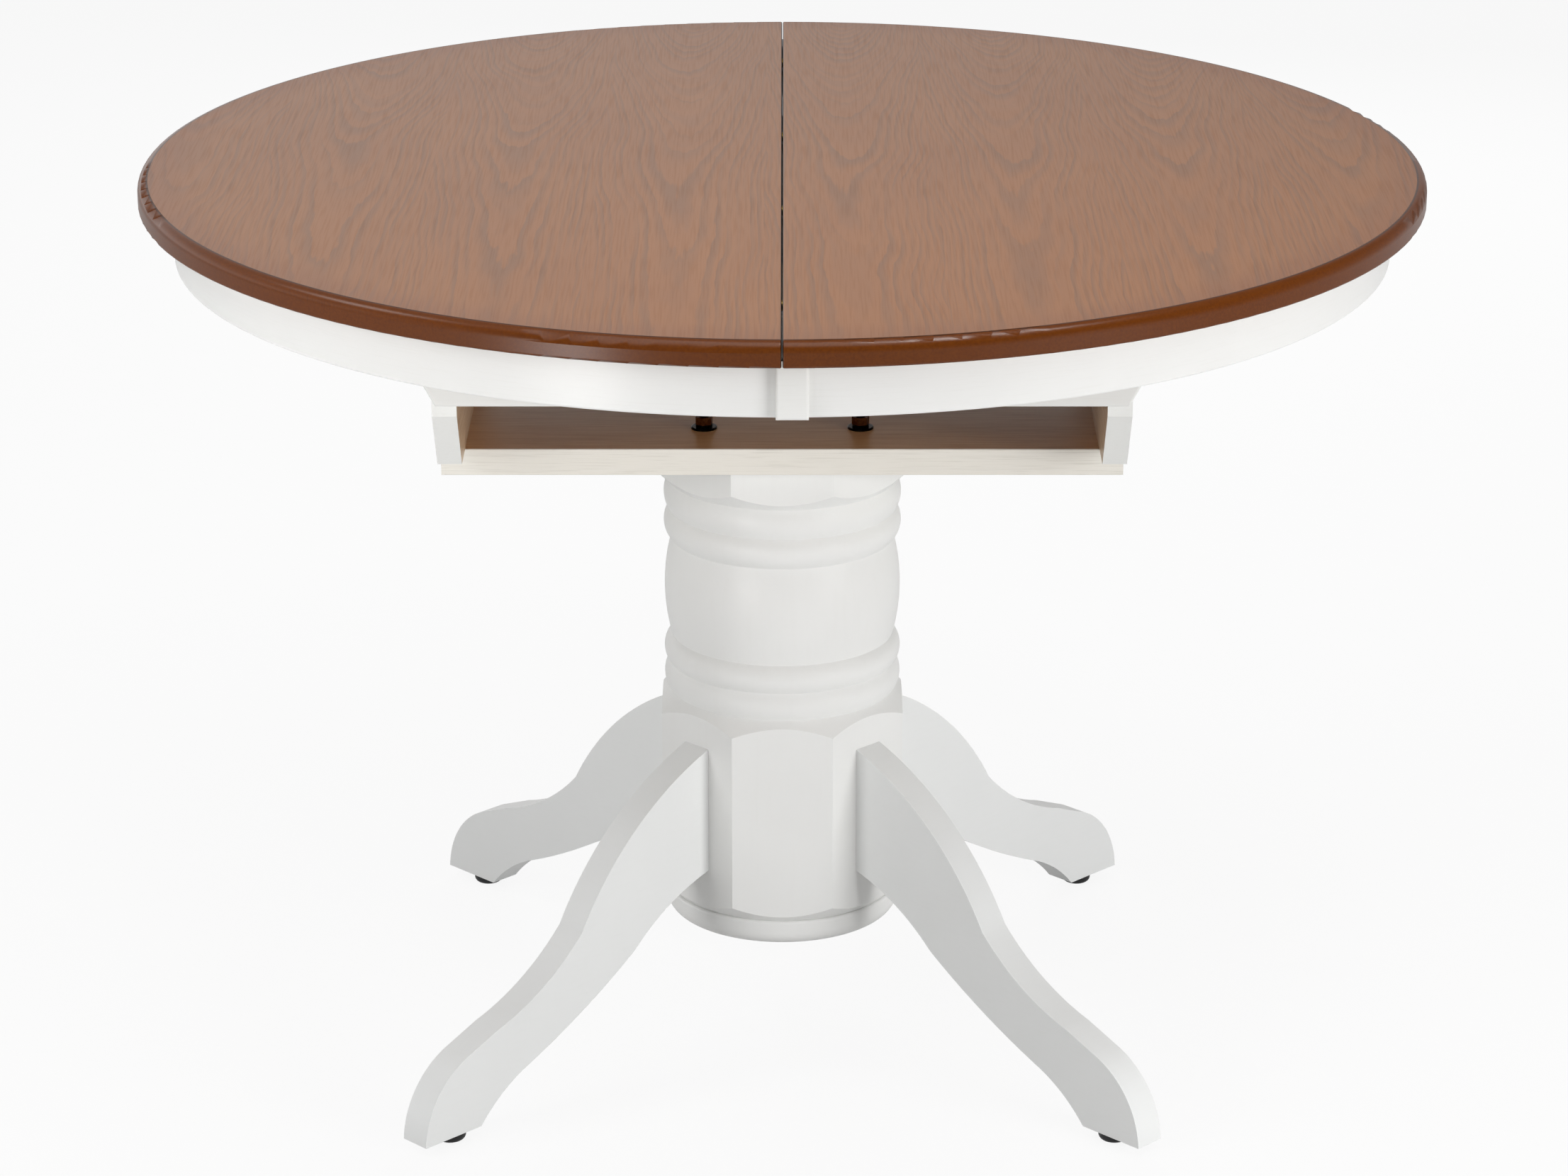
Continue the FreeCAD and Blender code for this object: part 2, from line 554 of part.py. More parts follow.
# ------------------------------------------------------------ the box and plank
def side_board():
    """Right side board: bevelled lower ends, and a horn at each end beside the stored leaf."""
    x = BOX_INSIDE_X / 2
    foot = SIDE_BOARD_FOOT_Y / 2
    end = BOX_INSIDE_Y / 2
    horn = LEAF_WIDTH / 2 + SADDLE_CLEARANCE
    horn_z = RUNNER_Z - HORN_TOP_GAP
    half = [(foot, PLANK_TOP_Z), (end, PLANK_TOP_Z + SIDE_BEVEL_Z), (end, horn_z), (horn, horn_z),
            (horn, SADDLE_Z)]
    points = [Vector(x, y, z) for y, z in half] + [Vector(x, -y, z) for y, z in reversed(half)]
    return prism(points, Vector(SIDE_BOARD_THICKNESS, 0, 0))


def rail_screws(clearance=0.0):
    """Through each rail's outer face into the side boards' ends."""
    face = BOX_INSIDE_Y / 2 + RAIL_THICKNESS
    x = (BOX_INSIDE_X + SIDE_BOARD_THICKNESS) / 2
    length = RAIL_THICKNESS + BOX_SCREW_BITE
    front = [screw(Vector(side * x, -face, RAIL_Z + share * RAIL_HEIGHT), Vector(0, 1, 0), length, clearance)
             for side in (-1, 1) for share in RAIL_SCREW_SHARES]
    return front + [half_turn(shape) for shape in front]


def plank_screws(clearance=0.0):
    """From below the plank into the side boards."""
    x = (BOX_INSIDE_X + SIDE_BOARD_THICKNESS) / 2
    reach = PLANK_WIDTH / 2 - PLANK_SCREW_INSET
    right = [screw(Vector(x, y, PLANK_Z), Vector(0, 0, 1), PLANK_THICKNESS + BOX_SCREW_BITE, clearance)
             for y in (-reach, 0, reach)]
    return right + [half_turn(shape) for shape in right]


def plank():
    body = box(-SIDE_OUTER_X, SIDE_OUTER_X, -PLANK_WIDTH / 2, PLANK_WIDTH / 2, PLANK_Z, PLANK_TOP_Z)
    long_edges = [edge for edge in body.Edges if edge.BoundBox.XLength > SIDE_OUTER_X]
    return body.makeFillet(PLANK_EDGE_ROUND, long_edges)


def plank_bolt_places():
    return [(x, y) for x in (-PLANK_BOLT_X, PLANK_BOLT_X) for y in (-PLANK_BOLT_Y, PLANK_BOLT_Y)]


def plank_bolts(clearance=0.0):
    top = PLANK_NUT_Z + NUT_HEIGHT + BOLT_TIP
    return [cylinder(BOLT_RADIUS + clearance, x, y, COLUMN_TOP_Z - PLANK_BOLT_DEPTH, top)
            for x, y in plank_bolt_places()]


def plank_washers():
    washers = [washer(PLANK_WASHER_RADIUS, Vector(x, y, PLANK_TOP_Z), Vector(0, 0, 1), PLANK_WASHER_THICKNESS)
               for x, y in plank_bolt_places()]
    top = PLANK_TOP_Z + PLANK_WASHER_THICKNESS
    return [ring.makeFillet(PLANK_WASHER_ROUND, rim_edges(ring, top, PLANK_WASHER_RADIUS))
            for ring in washers]


def plank_spring_washers():
    """Split washers, pressed flat under the nuts."""
    low = PLANK_TOP_Z + PLANK_WASHER_THICKNESS
    half = SPRING_WASHER_SPLIT / 2
    rings = []
    for x, y in plank_bolt_places():
        ring = washer(SPRING_WASHER_RADIUS, Vector(x, y, low), Vector(0, 0, 1), SPRING_WASHER_THICKNESS)
        rings.append(ring.cut(box(x, x + SPRING_WASHER_RADIUS + 1, y - half, y + half, low, PLANK_NUT_Z)))
    return rings


def plank_nuts():
    return [turned(hexagon_nut(Vector(x, y, PLANK_NUT_Z), Vector(0, 0, 1), NUT_HEIGHT), turn,
                   Vector(0, 0, 1), Vector(x, y, 0))
            for (x, y), turn in zip(plank_bolt_places(), PLANK_NUT_TURNS)]


# -------------------------------------------------------------------- the leaf
def leaf_wing(z0, z1, finished_up):
    """One wing of the folded leaf: fold at -X, rounded outer edge at +X."""
    half_y = LEAF_WIDTH / 2
    outer = LEAF_FOLD_X + HALF_LEAF
    wing = box(LEAF_FOLD_X, outer, -half_y, half_y, z0, z1)
    finished = z1 if finished_up else z0
    edge = [e for e in wing.Edges
            if all(abs(v.X - outer) < 0.01 and abs(v.Z - finished) < 0.01 for v in e.Vertexes)]
    return wing.makeFillet(TOP_EDGE_ROUND, edge)


def wing_dowel_places():
    """As far from the fold as the tops' pins are from the middle."""
    return [LEAF_FOLD_X + share * TOP_RADIUS for share in DOWEL_SHARES]


def wing_dowels(z, clearance=0.0):
    """Pins on the wing's -Y edge."""
    half_y = LEAF_WIDTH / 2
    reach = DOWEL_REACH - SEAM_X + DOWEL_SEAT
    start_y = SEAM_X - half_y - DOWEL_REACH
    return [rod(DOWEL_RADIUS + clearance, Vector(x, start_y, z), Vector(0, 1, 0), reach)
            for x in wing_dowel_places()]


def wing_sockets(z):
    half_y = LEAF_WIDTH / 2
    return [rod(DOWEL_RADIUS + DOWEL_CLEARANCE, Vector(x, half_y, z), Vector(0, -1, 0), BUSHING_LENGTH)
            for x in wing_dowel_places()]


def fold_pin_x():
    return LEAF_FOLD_X + FOLD_PIN_INSET


def hinge_pockets(z0, z1):
    outer = LEAF_WIDTH / 2
    end = fold_pin_x() + STRAP_LENGTH - STRAP_HEIGHT / 2 + HINGE_POCKET_MARGIN
    pocket = box(LEAF_FOLD_X - 1, end, outer - HINGE_POCKET_DEPTH, outer + 1, z0, z1)
    return [pocket, flipped_y(pocket)]


def strap(pin_z):
    """Brass strap let into the wing's edge, round at its pivot end."""
    near = LEAF_WIDTH / 2 - HINGE_POCKET_DEPTH
    half = STRAP_HEIGHT / 2
    x = fold_pin_x()
    start = Vector(x, near, pin_z)
    bar = box(x, x + STRAP_LENGTH - half, near, near + STRAP_THICKNESS, pin_z - half, pin_z + half)
    nose = rod(half, start, Vector(0, 1, 0), STRAP_THICKNESS)
    eye = rod(FOLD_PIN_RADIUS + RUNNING_FIT, start, Vector(0, 1, 0), STRAP_THICKNESS)
    shape = bar.fuse(nose).removeSplitter().cut([eye] + strap_screws(pin_z, HOLE_CLEARANCE)[:2])
    return [shape, flipped_y(shape)]


def strap_screws(pin_z, clearance=0.0):
    """Through each strap into the wing's edge: two on the +Y edge, then two on the -Y edge."""
    face = LEAF_WIDTH / 2 - HINGE_POCKET_DEPTH + STRAP_THICKNESS
    places = [fold_pin_x() + share * STRAP_LENGTH for share in STRAP_SCREW_SHARES]
    rear = [screw(Vector(x, face, pin_z), Vector(0, -1, 0), STRAP_SCREW_LENGTH, clearance) for x in places]
    return rear + [flipped_y(shape) for shape in rear]


def fold_links():
    """Links that join the two straps of each hinge, each with its two riveted pins."""
    strap_face = LEAF_WIDTH / 2 - HINGE_POCKET_DEPTH
    near = strap_face + STRAP_THICKNESS + LINK_GAP
    half = LINK_WIDTH / 2
    x = fold_pin_x()
    ends = (FOLD_Z - FOLD_PIN_INSET, FOLD_Z + FOLD_PIN_INSET)
    link = box(x - half, x + half, near, near + LINK_THICKNESS, ends[0], ends[1])
    along = Vector(0, 1, 0)
    rounds = [rod(half, Vector(x, near, z), along, LINK_THICKNESS) for z in ends]
    pins = [rod(FOLD_PIN_RADIUS, Vector(x, strap_face + HOLE_CLEARANCE, z), along, near - strap_face)
            for z in ends]
    link = link.fuse(rounds + pins).removeSplitter()
    return [link, flipped_y(link)]


def felt_strips():
    half = FELT_LENGTH / 2
    strip = box(BOX_INSIDE_X / 2, SIDE_OUTER_X, -half, half, SADDLE_Z, SADDLE_Z + FELT_THICKNESS)
    return [strip, half_turn(strip)]


# ------------------------------------------------------------------- the locks
def keeper_x():
    return LOCK_PIVOT_X - LOCK_REACH


def headed_plate(x):
    """Plate under the top with a headed stud, at the front."""
    y = -LOCK_Y
    long, wide = LOCK_PLATE_LENGTH / 2, LOCK_PLATE_WIDTH / 2
    plate = box(x - long, x + long, y - wide, y + wide, LOCK_PLATE_Z, UNDERSIDE_Z)
    stud = cylinder(LOCK_STUD_RADIUS, x, y, LOCK_HEAD_Z, LOCK_PLATE_Z)
    head = cylinder(LOCK_HEAD_RADIUS, x, y, LOCK_HEAD_Z, LOCK_HEAD_Z + LOCK_HEAD_HEIGHT)
    return plate.fuse([stud, head]).removeSplitter()


def lock_lever():
    """Lever at rest, pointing to the front; it swings clockwise to hook the stud."""
    x, y = LOCK_PIVOT_X, -LOCK_Y
    half = LOCK_LEVER_WIDTH / 2
    low, high = LOCK_LEVER_Z, LOCK_LEVER_Z + LOCK_LEVER_THICKNESS
    end_y = y - LOCK_LEVER_LENGTH
    bar = box(x - half, x + half, end_y, y, low, high)
    nose = cylinder(half, x, y, low, high)
    tab = box(x - half, x + half, end_y, end_y + LOCK_LEVER_THICKNESS, low - LOCK_TAB_DROP, high)
    lever = bar.fuse([nose, tab]).removeSplitter()
    ring = cylinder(LOCK_REACH + LOCK_SLOT_RADIUS, x, y, low, high)
    ring = ring.cut(cylinder(LOCK_REACH - LOCK_SLOT_RADIUS, x, y, low, high))
    slot = ring.common(box(x - half - 1, x, end_y, y, low, high))
    seat = cylinder(LOCK_SLOT_RADIUS, x, y - LOCK_REACH, low, high)
    pivot = cylinder(LOCK_STUD_RADIUS + RUNNING_FIT, x, y, low, high)
    return lever.cut([slot, seat, pivot])


def lock_screws(x, clearance=0.0):
    """Two screws through the plate at the front, two at the rear."""
    half = LOCK_SCREW_SPACING / 2
    up = Vector(0, 0, 1)
    front = [screw(Vector(x + side * half, -LOCK_Y, LOCK_PLATE_Z), up, LOCK_SCREW_LENGTH, clearance)
             for side in (-1, 1)]
    return front + [flipped_y(shape) for shape in front]


def lock_plates(x):
    plate = headed_plate(x).cut(lock_screws(x, HOLE_CLEARANCE)[:2])
    return [plate, flipped_y(plate)]


# ---------------------------------------------------------------- the pedestal
def bead(z0, z1, radius, start_radius, end_radius):
    """One turned bead, bulging to radius halfway between its two ends."""
    return arc(Vector(start_radius, 0, z0), Vector(radius, 0, (z0 + z1) / 2), Vector(end_radius, 0, z1))


def column_levels():
    """Heights of the turned members, from the lower block upwards."""
    levels = [COLUMN_Z + LOWER_BLOCK_HEIGHT]
    for height in (LOWER_BEAD_HEIGHT, LOWER_BEAD_HEIGHT, BARREL_HEIGHT, UPPER_BEAD_HEIGHT, UPPER_BEAD_HEIGHT):
        levels.append(levels[-1] + height)
    return levels


def octagon(z0, z1):
    points = []
    for i in range(8):
        angle = math.pi / 8 + i * math.pi / 4
        points.append(Vector(COLUMN_CORNER * math.cos(angle), COLUMN_CORNER * math.sin(angle), z0))
    return prism(points, Vector(0, 0, z1 - z0))


def column():
    """Turned column between two octagonal blocks, bored through."""
    clear = COLUMN_CORNER + 1
    slope = clear - TURNED_END_RADIUS
    a, b, c, d, e, f = column_levels()
    end = TURNED_END_RADIUS
    edges = [line(Vector(COLUMN_BORE_RADIUS, 0, COLUMN_Z), Vector(end, 0, COLUMN_Z)),
             line(Vector(end, 0, COLUMN_Z), Vector(clear, 0, COLUMN_Z + slope)),
             line(Vector(clear, 0, COLUMN_Z + slope), Vector(clear, 0, a - slope)),
             line(Vector(clear, 0, a - slope), Vector(end, 0, a)),
             bead(a, b, BEAD_RADIUS, end, BEAD_GROOVE_RADIUS),
             bead(b, c, BEAD_RADIUS, BEAD_GROOVE_RADIUS, NECK_RADIUS),
             bead(c, d, BARREL_RADIUS, NECK_RADIUS, NECK_RADIUS),
             bead(d, e, BEAD_RADIUS, NECK_RADIUS, BEAD_GROOVE_RADIUS),
             bead(e, f, BEAD_RADIUS, BEAD_GROOVE_RADIUS, end),
             line(Vector(end, 0, f), Vector(clear, 0, f + slope)),
             line(Vector(clear, 0, f + slope), Vector(clear, 0, COLUMN_TOP_Z)),
             line(Vector(clear, 0, COLUMN_TOP_Z), Vector(COLUMN_BORE_RADIUS, 0, COLUMN_TOP_Z)),
             line(Vector(COLUMN_BORE_RADIUS, 0, COLUMN_TOP_Z), Vector(COLUMN_BORE_RADIUS, 0, COLUMN_Z))]
    return spun(edges).common(octagon(COLUMN_Z, COLUMN_TOP_Z))


def foot_disc():
    """Turned disc that closes the column's foot, with a spigot in the bore."""
    disc = cylinder(FOOT_DISC_RADIUS, 0, 0, FOOT_DISC_Z, COLUMN_Z)
    disc = disc.makeFillet(FOOT_DISC_ROUND, rim_edges(disc, FOOT_DISC_Z, FOOT_DISC_RADIUS))
    disc = disc.makeFillet(FOOT_DISC_TOP_ROUND, rim_edges(disc, COLUMN_Z, FOOT_DISC_RADIUS))
    spigot = cylinder(COLUMN_BORE_RADIUS - SPIGOT_CLEARANCE, 0, 0, COLUMN_Z, COLUMN_Z + SPIGOT_HEIGHT)
    return disc.fuse(spigot).removeSplitter()


def foot_screws(clearance=0.0):
    radius = (COLUMN_BORE_RADIUS + TURNED_END_RADIUS) / 2
    length = FOOT_DISC_HEIGHT + FOOT_SCREW_BITE
    return [turned(screw(Vector(radius, 0, FOOT_DISC_Z), Vector(0, 0, 1), length, clearance), 90 * i)
            for i in range(4)]


def leg():
    """One leg along +X: an S-curved board with a rounded toe and a flat sole."""
    root = COLUMN_APOTHEM
    sole = GLIDE_HEIGHT
    half = LEG_THICKNESS / 2

    def point(r, z, step=(0.0, 0.0)):
        return Vector(r + step[0] * LEG_REACH, -half, z + step[1] * LEG_HEIGHT)

    top = point(root, LEG_TOP_Z)
    shoulder = point(root, LEG_TOP_Z, LEG_SHOULDER_SHARES)
    instep = point(LEG_TOE_RADIUS, sole, LEG_INSTEP_SHARES)
    toe_start = point(LEG_TOE_RADIUS, sole, LEG_TOE_START_SHARES)
    toe = point(LEG_TOE_RADIUS, sole)
    heel = point(LEG_HEEL_RADIUS, sole)
    arch_start = point(LEG_HEEL_RADIUS, sole, LEG_ARCH_START_SHARES)
    arch_end = point(root, LEG_ROOT_Z, LEG_ARCH_END_SHARES)
    bottom = point(root, LEG_ROOT_Z)
    edges = [arc(top, point(root, LEG_TOP_Z, LEG_CREST_SHARES), shoulder),
             arc(shoulder, point(LEG_TOE_RADIUS, sole, LEG_HOLLOW_SHARES), instep),
             line(instep, toe_start),
             arc(toe_start, point(LEG_TOE_RADIUS, sole, LEG_TOE_BEND_SHARES), toe),
             line(toe, heel),
             arc(heel, point(LEG_HEEL_RADIUS, sole, LEG_HEEL_BEND_SHARES), arch_start),
             arc(arch_start, point(root, LEG_ROOT_Z, LEG_ARCH_SHARES), arch_end),
             arc(arch_end, point(root, LEG_ROOT_Z, LEG_ROOT_BEND_SHARES), bottom),
             line(bottom, top)]
    return Part.Face(Part.Wire(edges)).extrude(Vector(0, LEG_THICKNESS, 0))


def leg_bolt_heights():
    return [LEG_ROOT_Z + share * (LEG_TOP_Z - LEG_ROOT_Z) for share in LEG_BOLT_SHARES]


def leg_bolt_seat():
    """Distance of the flat that each leg washer bears on, from the column's axis."""
    return COLUMN_BORE_RADIUS + SPOT_FACE_DEPTH


def leg_bolts(clearance=0.0):
    start = leg_bolt_seat() - LEG_WASHER_THICKNESS - NUT_HEIGHT - BOLT_TIP
    end = COLUMN_APOTHEM + LEG_BOLT_DEPTH
    return [rod(BOLT_RADIUS + clearance, Vector(start, 0, z), Vector(1, 0, 0), end - start)
            for z in leg_bolt_heights()]


def spot_faces():
    radius = LEG_WASHER_RADIUS + SPOT_FACE_CLEARANCE
    start = COLUMN_BORE_RADIUS / 2
    return [rod(radius, Vector(start, 0, z), Vector(1, 0, 0), leg_bolt_seat() - start)
            for z in leg_bolt_heights()]


def leg_washers():
    x = leg_bolt_seat() - LEG_WASHER_THICKNESS
    return [washer(LEG_WASHER_RADIUS, Vector(x, 0, z), Vector(1, 0, 0), LEG_WASHER_THICKNESS)
            for z in leg_bolt_heights()]


def leg_nuts():
    x = leg_bolt_seat() - LEG_WASHER_THICKNESS
    return [hexagon_nut(Vector(x, 0, z), Vector(-1, 0, 0), NUT_HEIGHT) for z in leg_bolt_heights()]


def at_each_leg(shapes):
    return [turned(shape, angle) for angle in LEG_ANGLES.values() for shape in shapes]


def glide():
    """Domed foot under the sole, with a sunk screw."""
    x = GLIDE_AT_RADIUS
    disc = cylinder(GLIDE_RADIUS, x, 0, 0, GLIDE_HEIGHT)
    disc = disc.makeFillet(GLIDE_ROUND, rim_edges(disc, 0, GLIDE_RADIUS))
    recess = cylinder(SCREW_HEAD_RADIUS + HOLE_CLEARANCE, x, 0, 0, GLIDE_HEIGHT / 2)
    return disc.cut([recess, glide_screw(HOLE_CLEARANCE)])


def glide_screw(clearance=0.0):
    return screw(Vector(GLIDE_AT_RADIUS, 0, GLIDE_HEIGHT / 2), Vector(0, 0, 1), GLIDE_SCREW_LENGTH, clearance)


# ------------------------------------------------------------------- put it out
def export_top():
    half = top_half()
    rail_sides = (-RAIL_Y, RAIL_Y)
    screws = [piece for y in rail_sides for piece in runner_screws(y)]
    holes = [piece for y in rail_sides for piece in runner_screws(y, HOLE_CLEARANCE)]
    plate_holes = lock_screws(LOCK_PIVOT_X, HOLE_CLEARANCE)
    keeper_holes = lock_screws(keeper_x(), HOLE_CLEARANCE)
    right = half.cut(holes + plate_holes + alignment_pins(HOLE_CLEARANCE))
    left = half_turn(half.cut(holes)).cut(keeper_holes + bushing_holes())
    save("tabletop_half_right", right)
    save("tabletop_half_left", left)
    save("alignment_pins", alignment_pins())
    save("alignment_bushings", alignment_bushings())

    save("apron_right", apron_half())
    save("apron_left", half_turn(apron_half()))
    save("apron_lap_block_front", lap_block())
    save("apron_lap_block_rear", half_turn(lap_block()))
    save("apron_glue_blocks_right", glue_blocks())
    save("apron_glue_blocks_left", [half_turn(block) for block in glue_blocks()])

    front = placed_runner(runner(), -RAIL_Y).cut(holes)
    rear = placed_runner(runner(), RAIL_Y).cut(holes)
    save("runner_right_front", front)
    save("runner_right_rear", rear)
    save("runner_left_rear", half_turn(front))
    save("runner_left_front", half_turn(rear))
    racks = [placed_rack(y) for y in rail_sides]
    save("slide_racks_right", racks)
    save("slide_racks_left", [half_turn(strip) for strip in racks])
    save("underside_screws_right", screws + lock_screws(LOCK_PIVOT_X))
    save("underside_screws_left", [half_turn(piece) for piece in screws] + lock_screws(keeper_x()))

    save("lock_plates", lock_plates(LOCK_PIVOT_X))
    save("lock_keepers", lock_plates(keeper_x()))
    save("lock_lever_front", lock_lever())
    save("lock_lever_rear", flipped_y(lock_lever()))


def export_box():
    holes = rail_screws(HOLE_CLEARANCE) + plank_screws(HOLE_CLEARANCE)
    save("front_rail", rail(-RAIL_Y, -1).cut(holes))
    save("rear_rail", rail(RAIL_Y, 1).cut(holes))
    save("side_board_right", side_board().cut(holes))
    save("side_board_left", half_turn(side_board()).cut(holes))
    save("mounting_plank", plank().cut(holes + plank_bolts(HOLE_CLEARANCE)))
    save("box_screws", rail_screws() + plank_screws())
    save("pinion_front", pinion(-RAIL_Y))
    save("pinion_rear", pinion(RAIL_Y))
    save("pinion_pins", [pinion_pin(-RAIL_Y), pinion_pin(RAIL_Y)])
    save("plank_hanger_bolts", plank_bolts())
    save("plank_washers", plank_washers())
    save("plank_spring_washers", plank_spring_washers())
    save("plank_nuts", plank_nuts())


def export_wing(name, z, finished_up, pin_z):
    """One wing with its hinge straps, screws and alignment pins."""
    wing = leaf_wing(z, z + TOP_THICKNESS, finished_up)
    middle = z + TOP_THICKNESS / 2
    reach = FOLD_PIN_INSET + STRAP_HEIGHT / 2 + HINGE_POCKET_MARGIN / 2
    pockets = hinge_pockets(FOLD_Z - reach, FOLD_Z) if finished_up else hinge_pockets(FOLD_Z, FOLD_Z + reach)
    holes = strap_screws(pin_z, HOLE_CLEARANCE) + wing_dowels(middle, HOLE_CLEARANCE) + wing_sockets(middle)
    save("leaf_wing_" + name, wing.cut(pockets).cut(holes))
    save("leaf_pins_" + name, wing_dowels(middle))
    save("leaf_hinge_straps_" + name, strap(pin_z))
    save("leaf_hinge_screws_" + name, strap_screws(pin_z))


def export_leaf():
    export_wing("lower", LEAF_Z, True, FOLD_Z - FOLD_PIN_INSET)
    export_wing("upper", UPPER_WING_Z, False, FOLD_Z + FOLD_PIN_INSET)
    save("leaf_hinge_links", fold_links())
    save("leaf_felt_strips", felt_strips())


def export_pedestal():
    holes = at_each_leg(leg_bolts(HOLE_CLEARANCE) + spot_faces())
    screw_holes = foot_screws(HOLE_CLEARANCE)
    post = column().cut(holes)
    post = post.cut(screw_holes)
    save("pedestal_column", post.cut(plank_bolts(HOLE_CLEARANCE)))
    save("column_foot_disc", foot_disc().cut(screw_holes))
    save("foot_disc_screws", foot_screws())
    one_leg = leg().cut(leg_bolts(HOLE_CLEARANCE) + [glide_screw(HOLE_CLEARANCE)])
    for place, angle in LEG_ANGLES.items():
        save("leg_" + place, turned(one_leg, angle))
    save("leg_hanger_bolts", at_each_leg(leg_bolts()))
    save("leg_bolt_washers", at_each_leg(leg_washers()))
    save("leg_bolt_nuts", at_each_leg(leg_nuts()))
    save("floor_glides", at_each_leg([glide()]))
    save("glide_screws", at_each_leg([glide_screw()]))


os.makedirs("parts", exist_ok=True)
export_top()
export_box()
export_leaf()
export_pedestal()
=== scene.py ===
import json
import math
import bpy
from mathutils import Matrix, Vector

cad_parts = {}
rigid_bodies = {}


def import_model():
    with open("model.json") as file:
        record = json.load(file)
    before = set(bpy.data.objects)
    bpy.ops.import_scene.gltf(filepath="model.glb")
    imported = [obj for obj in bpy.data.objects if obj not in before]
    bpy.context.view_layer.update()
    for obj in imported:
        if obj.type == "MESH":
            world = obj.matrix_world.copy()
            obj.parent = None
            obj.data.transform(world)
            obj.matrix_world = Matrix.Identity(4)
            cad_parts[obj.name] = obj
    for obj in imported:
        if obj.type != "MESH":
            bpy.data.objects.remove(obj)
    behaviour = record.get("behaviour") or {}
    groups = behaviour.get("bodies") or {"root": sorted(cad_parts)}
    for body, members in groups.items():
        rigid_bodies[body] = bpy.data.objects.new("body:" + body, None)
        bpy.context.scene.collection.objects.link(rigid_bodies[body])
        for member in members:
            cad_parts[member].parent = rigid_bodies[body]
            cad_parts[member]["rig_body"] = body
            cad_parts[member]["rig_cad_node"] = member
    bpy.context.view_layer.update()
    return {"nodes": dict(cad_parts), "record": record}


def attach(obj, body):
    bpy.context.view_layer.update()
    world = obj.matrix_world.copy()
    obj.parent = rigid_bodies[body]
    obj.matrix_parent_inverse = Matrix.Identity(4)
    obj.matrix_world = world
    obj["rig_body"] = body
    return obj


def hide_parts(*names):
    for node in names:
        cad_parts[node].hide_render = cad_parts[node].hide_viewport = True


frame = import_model()

# Places of the table's own pieces, in millimetres. X is across the seam, Y along it.
TOP_BACK = 740.0                # underside of the top
TOP_RIM = 530.0
TOP_ROUND = 8.5
LEAF_BACKS = {"lower": 602.0, "upper": 643.5}
PLANK_HALF = 115.0
BOX_HALF_X = 260.0
RAIL_INNER_Y = 202.0

# Veneer: slip-matched leaves of flat-sawn ash, laid along Y.
VENEER_LEAF = 137.5             # width of each leaf
VENEER_CENTRE = 55.0            # centre line of one of them
VENEER_SLIP = 9.0               # each leaf slides on by this much
RING_WIDTH = 3.4                # one year's growth
HEART_DEPTH = 82.0              # of the tree's heart under the sheet, far in front
HEART_RISE = 10.0               # by which it comes nearer, at the table's middle
HEART_RUN = 278.0               # length over which the rise grows by e
THREAD_PITCH = 1.25

# Surface film, and how sharp edges are found and eased.
FILM_HEIGHT = 0.00002           # in metres
RIM_ROUGHNESS = 0.285
MERGE_DISTANCE = 0.000002       # in metres
FLAT_ANGLE = 0.4                # in degrees; facets nearer to flat than this are joined
SHARP_ANGLE = 38.0
SMOOTH_ANGLE = 50.0

# Camera, in metres, radians and millimetres of lens.
CAMERA_PLACE = (0.00145, -3.8722, 1.7473)
CAMERA_TILT = 0.3382
CAMERA_LENS = 110.41


# ------------------------------------------------------------------ colour and node helpers
def paint(code, level=1.0):
    """sRGB hex colour as linear light, lighter or darker by level."""
    parts = [int(code[i:i + 2], 16) / 255 for i in (1, 3, 5)]
    return [level * (c / 12.92 if c <= 0.04045 else ((c + 0.055) / 1.055) ** 2.4) for c in parts] + [1.0]


def add(tree, kind, settings=None, feeds=None):
    """Adds a node. A feed is a value for a socket, or the node or output that is linked to it."""
    made = tree.nodes.new("ShaderNode" + kind)
    for key, value in (settings or {}).items():
        setattr(made, key, value)
    for key, value in (feeds or {}).items():
        socket = made.inputs[key]
        if isinstance(key, str):
            socket = next(each for each in made.inputs if each.name == key and each.enabled)
        if isinstance(value, bpy.types.Node):
            value = next(each for each in value.outputs if each.enabled)
        if isinstance(value, bpy.types.NodeSocket):
            tree.links.new(value, socket)
        else:
            socket.default_value = value
    return made


def new_finish(name):
    """An empty finish, and the piece's own coordinates in millimetres."""
    finish = bpy.data.materials.new(name)
    finish.use_nodes = True
    tree = finish.node_tree
    tree.nodes.clear()
    place = add(tree, "TexCoord")
    mm = add(tree, "Mapping", None, {"Vector": place.outputs["Object"], "Scale": (1000.0, 1000.0, 1000.0)})
    return finish, tree, mm


